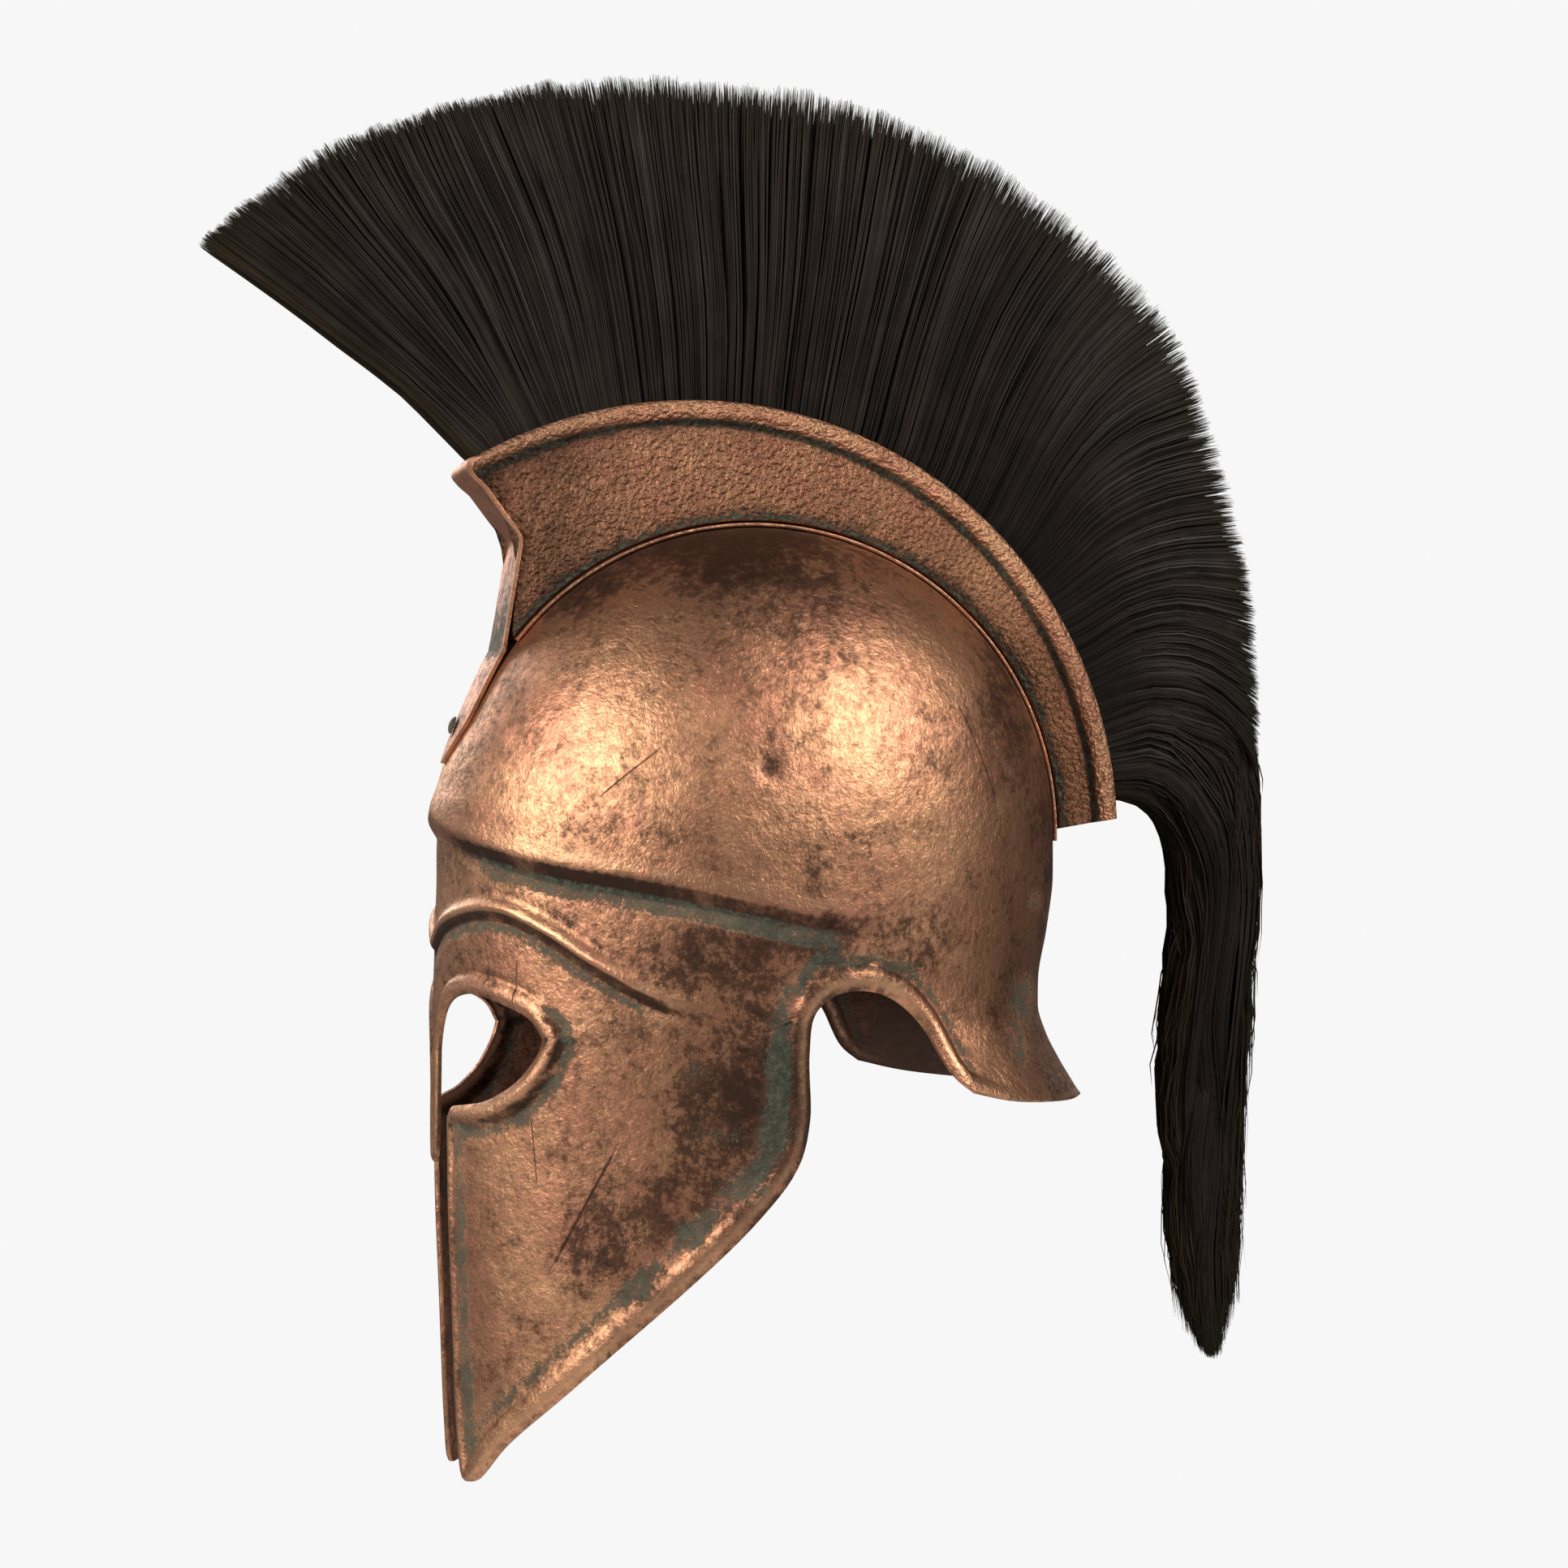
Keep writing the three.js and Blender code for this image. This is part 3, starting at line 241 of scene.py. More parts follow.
def relief_and_marks(angle, z):
    """How far the metal stands out, where shade is painted, where it is worn bright with a painted
    highlight, and where it is green.
    """
    point = base_point(angle, z)

    # the dome's step over the brow plate
    above = z - crease_z(angle)
    share = crease_share(angle)
    rise = smooth(above / LIP_RISE)
    lip = rise * (1 - smooth((above - LIP_FALL_FROM) / LIP_FALL))
    extra = rise * (1 - smooth((above - 5) / LIP_EXTRA_FALL)) * (1 - smooth((angle - 50) / 30))
    out = share * (STEP_HEIGHT * lip + LIP_EXTRA * extra)
    out = out - GROOVE * share * hump(above + 1.5, 3.5)
    # painted shade on the step's lower face, verdigris below it, and wear with a painted highlight along the
    # lip
    on_step = smooth((above + 1.2) / 1.6) * (1 - smooth((above - 4.6) / 2.6))
    under_step = smooth((above + 7.6) / 3) * (1 - smooth((above - .6) / 2))
    painted_shade = 1.25 * share * on_step * smooth((angle + 8) / 46)
    green = 1.15 * share * under_step * smooth((angle - 2) / 34)
    wear_and_highlight = .7 * share * hump(above - 10, 4)

    # the brow ridge, softer above than below
    far, found = nearest(point, *RIDGE)
    height = found[..., 0]
    over = z > brow_z(np.clip(angle, 0, BROW_ENDS))
    strength = height / 2
    ridge = height * (1 - smooth(far / np.where(over, RIDGE_ABOVE, RIDGE_BELOW)))
    ridge_out = ridge - GROOVE * 1.2 * strength * np.where(over, 0, hump(far - 5, 3))
    # painted shade at the ridge's foot below it and faintly above it, verdigris beyond, and wear with a
    # painted highlight on its crest
    foot = smooth((far - .6) / 1.6) * (1 - smooth((far - 4.4) / 1.8))
    painted_shade = np.maximum(painted_shade, strength * np.where(over, .35 * hump(far - 6, 3), 1.1 * foot))
    green = np.maximum(green, strength * np.where(over, .38 * hump(far - 6.5, 4),
                                                  .95 * hump(far - 7.2, 4.4)))
    wear_and_highlight = np.maximum(wear_and_highlight, strength * hump(far - np.where(over, .4, -.4), 2.6))

    # the short ridge that runs back from the eye's corner
    far, found = nearest(point, *TAIL_RIDGE)
    tail = found[..., 0]
    tail_out = tail * (1 - smooth(far / 4))
    below = smooth((-185.5 - z) / 2)
    # painted shade below the short ridge
    painted_shade = np.maximum(painted_shade, .9 * smooth(tail / 1.2) * hump(far - 2.8, 2.6) * below)

    # the beads along the edges: every place takes the bead of its own nearest edge
    found_at = [nearest(point, line, columns) for line, columns in EDGES]
    closest = np.min([far / found[..., 0] for far, found in found_at], axis=0)
    rim_out, rim_groove = np.zeros_like(z), np.zeros_like(z)
    for (far, found), (foot, slope, verdigris, reach) in zip(found_at, EDGE_LOOK):
        bead, high = found[..., 0], found[..., 1]
        t = far / bead
        mine = t <= closest
        strength = np.clip(high / 1.4, 0, 1)
        inwards = np.sin(math.pi / 2 * np.minimum(t / BEAD_CREST, 1))
        outer = np.clip((t - BEAD_CREST) / (1 - BEAD_CREST), 0, 1)
        rise = np.where(t < BEAD_CREST, BEAD_EDGE + (1 - BEAD_EDGE) * inwards, 1 - outer**2.3)
        rim_out = np.where(mine & (t < 1), high * rise, rim_out)
        rim_groove = np.maximum(rim_groove, strength * hump(far - bead - .6, 2.6))
        # painted shade at each bead's foot and on its outer slope, verdigris beyond, and wear with a painted
        # highlight on its crest
        at_foot = hump(far - bead * .95, 2.4) * smooth((closest - .5) / .2)
        beyond = hump(far - bead - reach * .5, reach) * smooth((closest - .8) / .2)
        painted_shade = np.maximum(painted_shade, strength * foot * at_foot)
        painted_shade = np.maximum(painted_shade, mine * strength * slope * hump(t - .9, .42))
        green = np.maximum(green, strength * verdigris * beyond)
        wear_and_highlight = np.maximum(wear_and_highlight, mine * strength * hump(t - .4, .3))
    out = out + np.maximum(np.maximum(ridge_out, tail_out), rim_out)
    clear = smooth((closest - .95) / .15) * (1 - smooth(ridge / .4))
    out = out - GROOVE * .8 * rim_groove * clear
    return out, painted_shade, green, wear_and_highlight


# Broad stains seen from the side, whose brown column is partly brown patina and partly painted shade: y, z,
# half length, half height, green, brown and painted shade
STAINS = np.array([
    (-30, -221, 18, 20, .75, .2), (-9, -222, 13, 20, 1, .2), (-6, -200, 8, 34, .95, .1),
    (-35, -257, 15, 13, .85, .2), (-36, -199, 22, 14, .55, .1), (-52, -279, 20, 11, .75, .3),
    (-14, -241, 14, 13, .95, .2), (90, -190, 18, 26, .8, .1), (38, -133, 34, 16, .4, .1),
    (44, -160, 12, 8, .6, 0), (-14, -163, 34, 18, .25, .7), (9, -147, 14, 11, 0, 1.1),
    (-68, -262, 22, 30, 0, 1), (-42, -246, 18, 26, .1, .8), (-58, -300, 16, 22, .15, .6),
    # The next four brown spots, on the dome's top and upper back beneath the crest and the hair, are painted
    # shade.
    (4, 6, 96, 62, 0, 1.1), (-18, 2, 76, 40, 0, 2.9), (-70, -20, 24, 22, 0, 1.6),
    (88, -56, 22, 46, 0, .8), (-108, -180, 14, 60, .35, .3), (-16, -226, 44, 70, 0, .8),
    (-4, -166, 50, 26, .1, .8), (-20, -158, 74, 22, .1, 1), (94, -176, 20, 24, 1.05, .1),
    (88, -192, 10, 16, .8, .1), (98, -140, 14, 12, .8, .2), (-8, -205, 30, 54, .3, 1.8),
    (40, -158, 24, 20, .2, .7), (6, -155, 26, 14, .3, 1.5), (-27, -218, 24, 44, .35, 1.4),
    (12, -129, 44, 20, 0, .4), (36, -150, 26, 26, 0, .5), (108, -120, 12, 60, .1, .6),
    # The last spot darkens the dent at the dome's side with painted shade.
    (84, -176, 18, 16, .1, .4), (-11, -90, 6, 5.5, 0, 2)], float)


def stains(point):
    green, brown_and_shade = np.zeros(point.shape[:-1]), np.zeros(point.shape[:-1])
    for y, z, long, high, g, b in STAINS:
        near = hump(np.hypot((point[..., 1] - y) / long, (point[..., 2] - z) / high), 1)
        green, brown_and_shade = np.maximum(green, g * near), np.maximum(brown_and_shade, b * near)
    return green, brown_and_shade


# Small knocks: x, y, z, radius, depth
KNOCKS = np.array([
    (96.3, -11.3, -89.8, 7, 1.7), (84, -61, -130, 4, .5), (90, 1.2, -218.4, 3, .9),
    (82.5, -31.8, -265.7, 4, 1), (0, -106, -69, 30, 1.2), (58, -80, -110, 7, .3), (86, 40, -70, 9, .35),
    (88, -30, -60, 10, .35), (44.5, -94, -327, 3, .7), (75, -55, -130, 9, .3), (84, -26, -240, 9, .4),
    (90, 18, -128, 8, .3), (-90, 10, -90, 8, .6), (-70, -60, -230, 9, .5), (-60, 80, -60, 9, .5)], float)


def knocks(point):
    depth = np.zeros(point.shape[:-1])
    for x, y, z, radius, deep in KNOCKS:
        depth += deep * hump(np.linalg.norm(point - (x, y, z), axis=-1), radius)
    return depth


def depth_at(z):
    return np.where(z <= DOME_CENTRE_Z, math.pi / 2 * DOME_RADIUS + DOME_CENTRE_Z - z,
                    DOME_RADIUS * np.arccos(np.clip((z - DOME_CENTRE_Z) / DOME_RADIUS, -1, 1)))


def height_at(depth):
    quarter = math.pi / 2 * DOME_RADIUS
    return np.where(depth >= quarter, DOME_CENTRE_Z - (depth - quarter),
                    DOME_CENTRE_Z + DOME_RADIUS * np.cos(depth / DOME_RADIUS))


# ---------------------------------------------------------------- working on pieces
def alone(piece):
    if bpy.context.object and bpy.context.object.mode != "OBJECT":
        bpy.ops.object.mode_set(mode="OBJECT")
    bpy.ops.object.select_all(action="DESELECT")
    piece.select_set(True)
    bpy.context.view_layer.objects.active = piece


def corners(piece):
    at = np.empty(len(piece.data.vertices) * 3, np.float32)
    piece.data.vertices.foreach_get("co", at)
    return at.reshape(-1, 3).astype(float)


def place(piece, at):
    piece.data.vertices.foreach_set("co", np.ascontiguousarray(at, np.float32).ravel())
    piece.data.update()


def mark(piece, name, values):
    layer = piece.data.attributes.get(name) or piece.data.attributes.new(name, "FLOAT", "POINT")
    layer.data.foreach_set("value", np.ascontiguousarray(values, np.float32).ravel())


def marked(piece, name):
    values = np.empty(len(piece.data.vertices), np.float32)
    piece.data.attributes[name].data.foreach_get("value", values)
    return values.astype(float)


def shaped_grid(name, places, marks=()):
    """A grid primitive whose corners are drawn out to their places, in millimetres."""
    bpy.ops.object.select_all(action="DESELECT")
    rows, columns = places.shape[:2]
    bpy.ops.mesh.primitive_grid_add(x_subdivisions=columns - 1, y_subdivisions=rows - 1, size=1,
                                    calc_uvs=False)
    sheet = bpy.context.active_object
    sheet.name = sheet.data.name = name
    at = corners(sheet)
    i = np.rint((at[:, 1] + .5) * (rows - 1)).astype(int)
    j = np.rint((at[:, 0] + .5) * (columns - 1)).astype(int)
    place(sheet, places[i, j] * MM)
    for label, values in dict(marks).items():
        mark(sheet, label, values[i, j])
    return sheet


def joined(name, pieces):
    alone(pieces[0])
    for piece in pieces[1:]:
        piece.select_set(True)
    bpy.ops.object.join()
    whole = bpy.context.active_object
    whole.name = whole.data.name = name
    return whole


def edit(piece, *steps):
    """Edit-mode operators on the whole piece."""
    alone(piece)
    bpy.ops.object.mode_set(mode="EDIT")
    bpy.ops.mesh.select_all(action="SELECT")
    for step in steps:
        step()
    bpy.ops.object.mode_set(mode="OBJECT")


def merge(size=1e-5):
    return lambda: bpy.ops.mesh.remove_doubles(threshold=size)


def outwards():
    bpy.ops.mesh.normals_make_consistent(inside=False)


def close_with(action):
    """Works on the open edges alone, then turns every face outwards."""
    def step():
        bpy.ops.mesh.select_all(action="DESELECT")
        bpy.ops.mesh.select_non_manifold(extend=False)
        action()
        bpy.ops.mesh.select_all(action="SELECT")
        outwards()
    return step


def finish_with(piece, kind, **values):
    """Adds a modifier, sets it and applies it."""
    alone(piece)
    bpy.ops.object.modifier_add(type=kind)
    modifier = piece.modifiers[-1]
    for name, value in values.items():
        setattr(modifier, name, value)
    bpy.ops.object.modifier_apply(modifier=modifier.name)


def soften(piece, degrees=40):
    alone(piece)
    bpy.ops.object.shade_smooth_by_angle(angle=math.radians(degrees))


def settle(piece, slot, node, *finishes):
    for finish in finishes:
        piece.data.materials.append(finish)
    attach(piece, "root")
    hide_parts(node)
    return piece


# ---------------------------------------------------------------- the shell's grid
# distances of the grid's rows from an edge or from the dome's step
FRONT_MARGIN = np.array([0, 2.4, 5, 7.5])
BACK_MARGIN = np.array([11.5, 8, 4.6, 0])
RIM_ROWS = np.array([11.5, 8, 4.6, 2, 0])
LIP_ROWS = np.array([30, 18, 10, 4.5, 0])
CHEEK_SAG = 11
CROSSED_AT = (0, 5.4, 41, 90, 132, 180)   # degrees where each stretch's columns cross the step
COLUMN_PARTS, ROW_PARTS, DOME_ROWS = 4, 4, 46
EYE_COLUMNS, ARCH_COLUMNS = 54, 44
EYE_ROWS, SLIT_ROWS = 34, 54


def apart(a, b):
    return math.hypot((a[0] - b[0]) * AROUND, a[1] - b[1])


def shares(length, spans=11):
    squeeze = min(1, .42 * length / BACK_MARGIN[0])
    start, end = FRONT_MARGIN * squeeze / length, 1 - BACK_MARGIN * squeeze / length
    middle = np.linspace(start[-1], end[0], spans - len(start) - len(end) + 3)
    return finer(np.concatenate([start, middle[1:-1], end]), COLUMN_PARTS)


def cheek_line():
    eye, arch = EYE_TOP[-1, :2], ARCH[0, :2]
    t = shares(apart(eye, arch))[:, None]
    line = eye + (arch - eye) * t
    line[:, 1] -= CHEEK_SAG * 4 * (t * (1 - t))[:, 0]
    return line


def evenly(rows, spans, before=None, after=None):
    return through(rows[:, :2], spans, (AROUND, 1), before, after)


def upper_block():
    """Crown to the eyes, the cheek line, the ear arch and the neck's lower edge."""
    nasal_top = NASAL_SIDE[-1, :2]
    ends = [np.stack([np.linspace(0, nasal_top[0], 9), np.full(9, nasal_top[1])], 1),
            evenly(EYE_TOP, EYE_COLUMNS, NASAL_SIDE[-2]), cheek_line(),
            evenly(ARCH, ARCH_COLUMNS, CHEEK_BACK[1]),
            evenly(NECK_BOTTOM, 7 * COLUMN_PARTS)]
    lower, tops = [], []
    for i, stretch in enumerate(ends):
        top = np.linspace(CROSSED_AT[i], CROSSED_AT[i + 1], len(stretch))
        lower.append(stretch[i > 0:])
        tops.append(top[i > 0:])
    lower, tops = np.vstack(lower), np.concatenate(tops)
    block, share = [], .5
    for end, top in zip(lower, tops):
        crease = np.array([top, crease_z(top)])
        length = apart(crease, end)
        if top < 66:
            t = np.linspace(0, 1, 400)
            a, z = crease[0] + (end[0] - crease[0]) * t, crease[1] + (end[1] - crease[1]) * t
            share = min(float(t[np.argmax(z <= brow_z(a))]), .66)
        dome = height_at(depth_at(crease[1] + LIP_ROWS[0]) * np.linspace(0, 1, DOME_ROWS + 1)[:-1])
        lip = crease[1] + finer(LIP_ROWS, ROW_PARTS)
        brow = share * length
        squeeze = min(1, .6 * length / RIM_ROWS[0])
        rim = length - RIM_ROWS * squeeze
        ridged = np.array([0, brow / 2, brow - 4, brow, brow + 4, (brow + 4 + rim[0]) / 2])
        plain = smooth((top - 52) / 14)
        steps = finer(np.concatenate([ridged + (rim[0] * np.arange(6) / 6 - ridged) * plain, rim]),
                      ROW_PARTS)[1:, None] / length
        above = np.stack([np.full(len(dome) + len(lip), top), np.concatenate([dome, lip])], 1)
        block.append(np.vstack([above, crease + (end - crease) * steps]))
    return np.array(block)


def cheek_block():
    front = np.vstack([evenly(EYE_BOTTOM, EYE_ROWS), evenly(CHEEK_FRONT, SLIT_ROWS)[1:]])
    back = np.vstack([evenly(CHEEK_BACK[:4], EYE_ROWS, ARCH[1], CHEEK_BACK[4]),
                      evenly(CHEEK_BACK[3:], SLIT_ROWS, CHEEK_BACK[2])[1:]])
    rows = [cheek_line()]
    for i in range(1, len(front)):
        t = shares(max(apart(front[i], back[i]), 1e-6))[:, None]
        row = front[i] + (back[i] - front[i]) * t
        row[:, 1] -= CHEEK_SAG * max(0, 1 - i / EYE_ROWS) * 4 * (t * (1 - t))[:, 0]
        rows.append(row)
    return np.array(rows)


def nasal_block():
    edge = evenly(NASAL_SIDE, 28)[::-1]
    t = np.linspace(0, 1, 9)
    return np.stack([edge[:, :1] * t, np.repeat(edge[:, 1:], 9, 1)], -1)


def listed(items, name, each=1):
    values = np.empty(len(items) * each, int)
    items.foreach_get(name, values)
    return values


def weigh_rim(shell, count):
    """Marks for the bevel the two edges of the wall's rim; the outer face has the first corners."""
    mesh = shell.data
    start, size = listed(mesh.polygons, "loop_start"), listed(mesh.polygons, "loop_total")
    inner = (listed(mesh.loops, "vertex_index") >= count).astype(int)
    inner_corners = np.add.reduceat(inner, start)
    on_rim = np.repeat((inner_corners > 0) & (inner_corners < size), size)
    ends = listed(mesh.edges, "vertices", 2).reshape(-1, 2) >= count
    weight = np.zeros(len(mesh.edges), np.float32)
    weight[listed(mesh.loops, "edge_index")[on_rim]] = 1
    weight[ends[:, 0] != ends[:, 1]] = 0
    layer = mesh.attributes.new("bevel_weight_edge", "FLOAT", "EDGE")
    layer.data.foreach_set("value", weight)


NORMAL_MARKS = ("nx", "ny", "nz")
RIM_SOFTNESS = .5                  # bevel of the rim's two edges


def helmet_shell(outside, inside):
    """Half the shell from three grids, mirrored, given its wall and softened at the rim."""
    blocks = []
    for name, block in (("upper", upper_block()), ("cheek", cheek_block()), ("nasal", nasal_block())):
        angle, z = block[..., 0], block[..., 1]
        out, painted_shade, green, wear_and_highlight = relief_and_marks(angle, z)
        at = base_point(angle, z)
        stain, brown_and_shade = stains(at)
        normal = base_normal(angle, z)
        at = at + normal * (out - knocks(at))[..., None]
        past = np.maximum(0, at[..., 0] - WIDEST + 1)
        at[..., 0] = at[..., 0] - past + np.tanh(past)
        at[..., 1] -= FACE_FORWARD * smooth((FACE_TOP - z) / 12) * (1 - smooth(angle / FACE_SIDE))
        at[..., 2] = np.maximum(at[..., 2], LOWEST)
        at[..., 0] = np.where((angle < 1e-9) | (angle > 180 - 1e-9), 0, at[..., 0])
        marks = {"painted_shade": painted_shade, "green": green, "wear_and_highlight": wear_and_highlight, "stain": stain, "brown_and_shade": brown_and_shade}
        marks.update({axis: normal[..., k] for k, axis in enumerate(NORMAL_MARKS)})
        blocks.append(shaped_grid(name, at, marks))
    shell = joined("helmet_shell_worked", blocks)
    edit(shell, merge(), outwards)
    finish_with(shell, "MIRROR", use_axis=(True, False, False), use_mirror_merge=True,
                merge_threshold=1e-5)
    edit(shell, merge(), outwards)
    shell.data.materials.append(outside)
    shell.data.materials.append(inside)
    finish_with(shell, "SOLIDIFY", thickness=WALL * MM, offset=-1, use_rim=True, material_offset=1,
                material_offset_rim=0, use_even_offset=False)
    at = corners(shell)
    outer = at[:len(at) // 2]
    # the inner wall lies straight behind the plain shell, so that no bead or ridge folds it
    way = np.stack([marked(shell, axis)[:len(outer)] for axis in NORMAL_MARKS], 1)
    way[:, 0] = np.abs(way[:, 0]) * np.sign(outer[:, 0])
    place(shell, np.vstack([outer, outer - WALL * MM * way]))
    for axis in NORMAL_MARKS:
        shell.data.attributes.remove(shell.data.attributes[axis])
    weigh_rim(shell, len(outer))
    finish_with(shell, "BEVEL", width=RIM_SOFTNESS * MM, segments=2, limit_method="WEIGHT",
                use_clamp_overlap=True)
    soften(shell, 50)
    return settle(shell, "shell_bronze", "helmet_shell")


# ---------------------------------------------------------------- the crest's metal
GAP = .5
SADDLE_THICKNESS, SADDLE_HALF = 1.2, 18.8
SADDLE_FRONT, SADDLE_REAR = -51.8, 91.5
RIM_RADIUS, RIM_CENTRE_Y, RIM_CENTRE_Z = 162, -22, -115.1
BASE_FRONT, BASE_REAR, TOP_FRONT, TOP_REAR = -51.6, 89.2, -29.7, 88
HOLDER_LIFT = 2 * GAP + SADDLE_THICKNESS
WAIST_SHARE = .535
STRAP_PLATE = 1.6
# outer y, outer z, inner y, inner z, half width
STRAP = np.array([(-105.6, 24.4, -104.2, 23.8, 21), (-109, 23, -106.8, 21.8, 22),
                  (-110, 19.8, -107.8, 19.2, 22), (-108, 16.6, -106.2, 16.8, 21),
                  (-103.4, 12.4, -102, 13.2, 20), (-96, 2.4, -94.6, 3.4, 19.2),
                  (-90, -5.6, -88.4, -5.2, 18.4), (-90, -8.6, -88.4, -8.4, 18.2)], float)
TAB = np.array([(-48.5, 17.2), (-62, 16.6), (-72, 15), (-80.5, 9.5), (-89.3, 1)], float)
TAB_ENDS_OFF, TAB_SINKS = 1.1, 1.6   # the flat tab off the round dome, at its ends and middle
FOLD_Z = -47                       # where the plate turns into the tab
RIVET_Z, RIVET_RADIUS, RIVET_RISE = -75.5, 3.4, 1.7


def over_dome(back, x, lift):
    reach = (DOME_RADIUS + lift) * np.sqrt(1 - (x / (DOME_HALF_WIDTH + lift))**2)
    turn = np.radians(back)
    return np.stack([x + 0 * reach * turn, reach * np.sin(turn),
                     DOME_CENTRE_Z + reach * np.cos(turn)], -1)


def crest_saddle(finish):
    back, x = np.meshgrid(np.linspace(SADDLE_FRONT, SADDLE_REAR, 131),
                          np.linspace(-1, 1, 15) * SADDLE_HALF, indexing="ij")
    # wear with a painted highlight along the strip's edges, verdigris just inside them
    strip = shaped_grid("crest_saddle_strip", over_dome(back, x, GAP + SADDLE_THICKNESS),
                        {"wear_and_highlight": smooth((np.abs(x) - SADDLE_HALF + 2.2) / 1.4),
                         "green": .7 * hump(np.abs(x) - 17.4, .8)})
    edit(strip, outwards)
    finish_with(strip, "SOLIDIFY", thickness=SADDLE_THICKNESS * MM, offset=-1, use_rim=True)
    finish_with(strip, "BEVEL", width=.3 * MM, segments=2, limit_method="ANGLE")
    soften(strip)
    return settle(strip, "saddle_bronze", "crest_saddle", finish)


def tab_off(z):
    along = (TAB[0, 0] - z) / (TAB[0, 0] - TAB[-1, 0])
    return TAB_ENDS_OFF - TAB_SINKS * (1 - (2 * along - 1)**2)


def strap_back(x, z):
    foot_z = TAB[0, 0]
    foot_y = base_point(np.float64(0), np.float64(foot_z))[1] - GAP
    rows = np.vstack([[foot_y, foot_z], STRAP[::-1, 2:4]])
    middle = np.interp(z, rows[:, 1], rows[:, 0])
    rounding = np.clip((STRAP[-1, 3] - z) / (STRAP[-1, 3] - foot_z), 0, 1)
    return middle + rounding * 2 * (x / TAB[0, 1])**2


# Half of the holder's section: x, then a height above the base, below the rim, or as a share
HOLDER_SECTION = [(9.4, "up", 0), (18.6, "up", 0), (17.5, "up", 1.6), (17.1, "up", 3.4),
                  (17.1, "share", .34), (17.1, "share", WAIST_SHARE), (17.1, "share", .68),
                  (17.1, "down", 10.2), (17.4, "down", 8.9), (19.2, "down", 8), (21.2, "down", 6),
                  (21.9, "down", 3.6), (21, "down", 1.1), (18.9, "down", -.1), (17.2, "down", .9),
                  (15.6, "down", 4), (15.6, "down", 9.6), (15.5, "share", WAIST_SHARE), (15.4, "up", 3.6),
                  (14.4, "up", 1.7)]


def rim_at(share):
    turn = math.radians(TOP_FRONT + (TOP_REAR - TOP_FRONT) * share)
    return np.array([0, RIM_CENTRE_Y + RIM_RADIUS * math.sin(turn),
                     RIM_CENTRE_Z + RIM_RADIUS * math.cos(turn)])


def holder_outline(share):
    """The holder's section at a share of its length, its first one following the strap's back."""
    back = BASE_FRONT + (BASE_REAR - BASE_FRONT) * share
    rim, first_rim = rim_at(share), rim_at(0)
    height = np.linalg.norm(over_dome(np.float64(back), np.float64(0), HOLDER_LIFT) - rim)
    follow = max(0, 1 - share / .3)**2

    def corner(x, kind, value, side):
        level = {"up": value / height, "down": 1 - value / height, "share": value}[kind]
        if share >= .985 and x < 15.7 and (kind, value) != ("up", 0):
            level = max(level, 1 - 2.4 / height)
        low = over_dome(np.float64(back), np.float64(x), HOLDER_LIFT)
        first = over_dome(np.float64(BASE_FRONT), np.float64(x), HOLDER_LIFT)
        at = low + (rim - low) * level
        start = first + (first_rim - first) * level
        at[1] += (strap_back(x, start[2]) + .1 - start[1]) * follow * smooth(level / .1)
        at[0] = side * x
        return at

    half = [corner(*row, 1) for row in HOLDER_SECTION]
    other = [corner(*row, -1) for row in reversed(HOLDER_SECTION)]
    return [corner(0, "up", 0, 1), *half, corner(0, "up", 1.7, 1), *other, corner(0, "up", 0, 1)]


def crest_holder(finish):
    stations = np.concatenate([np.linspace(0, .978, 49), [.99, 1]])
    places = np.array([holder_outline(s) for s in stations])
    # marks at each corner of half the section, from the middle of the underside round the rim
    # painted shade in the holder's corners and in the groove under its bead, with verdigris there too; wear
    # with a painted highlight on the bead
    painted_shade = [0, 0, .5, 1, .5, .1, 0, 0, .35, 1, .9, .1, 0, 0, 0, 0, .3, .6, .6, .6, .6]
    wear_and_highlight = [0, .5, .2, 0, 0, 0, 0, 0, 0, 0, .1, .4, .55, .55, .5, .3, 0, 0, 0, 0, 0]
    grainy = [0, .3, .3, .6, 1, 1, 1, 1, .8, .5] + [.45] * 6 + [.3] * 5

    def both_sides(half, middle):
        return np.tile(half + [middle] + half[:0:-1] + [0], (len(stations), 1))
    box = shaped_grid("crest_holder_box", places, {
        "painted_shade": both_sides(painted_shade, .6), "green": both_sides(painted_shade, .6),
        "wear_and_highlight": both_sides(wear_and_highlight, 0), "grain": both_sides(grainy, 0)})
    edit(box, merge(), outwards)
    finish_with(box, "SUBSURF", levels=2, render_levels=2, boundary_smooth="PRESERVE_CORNERS")
    edit(box, close_with(bpy.ops.mesh.fill))
    soften(box, 35)
    return settle(box, "holder_bronze", "crest_holder", finish)


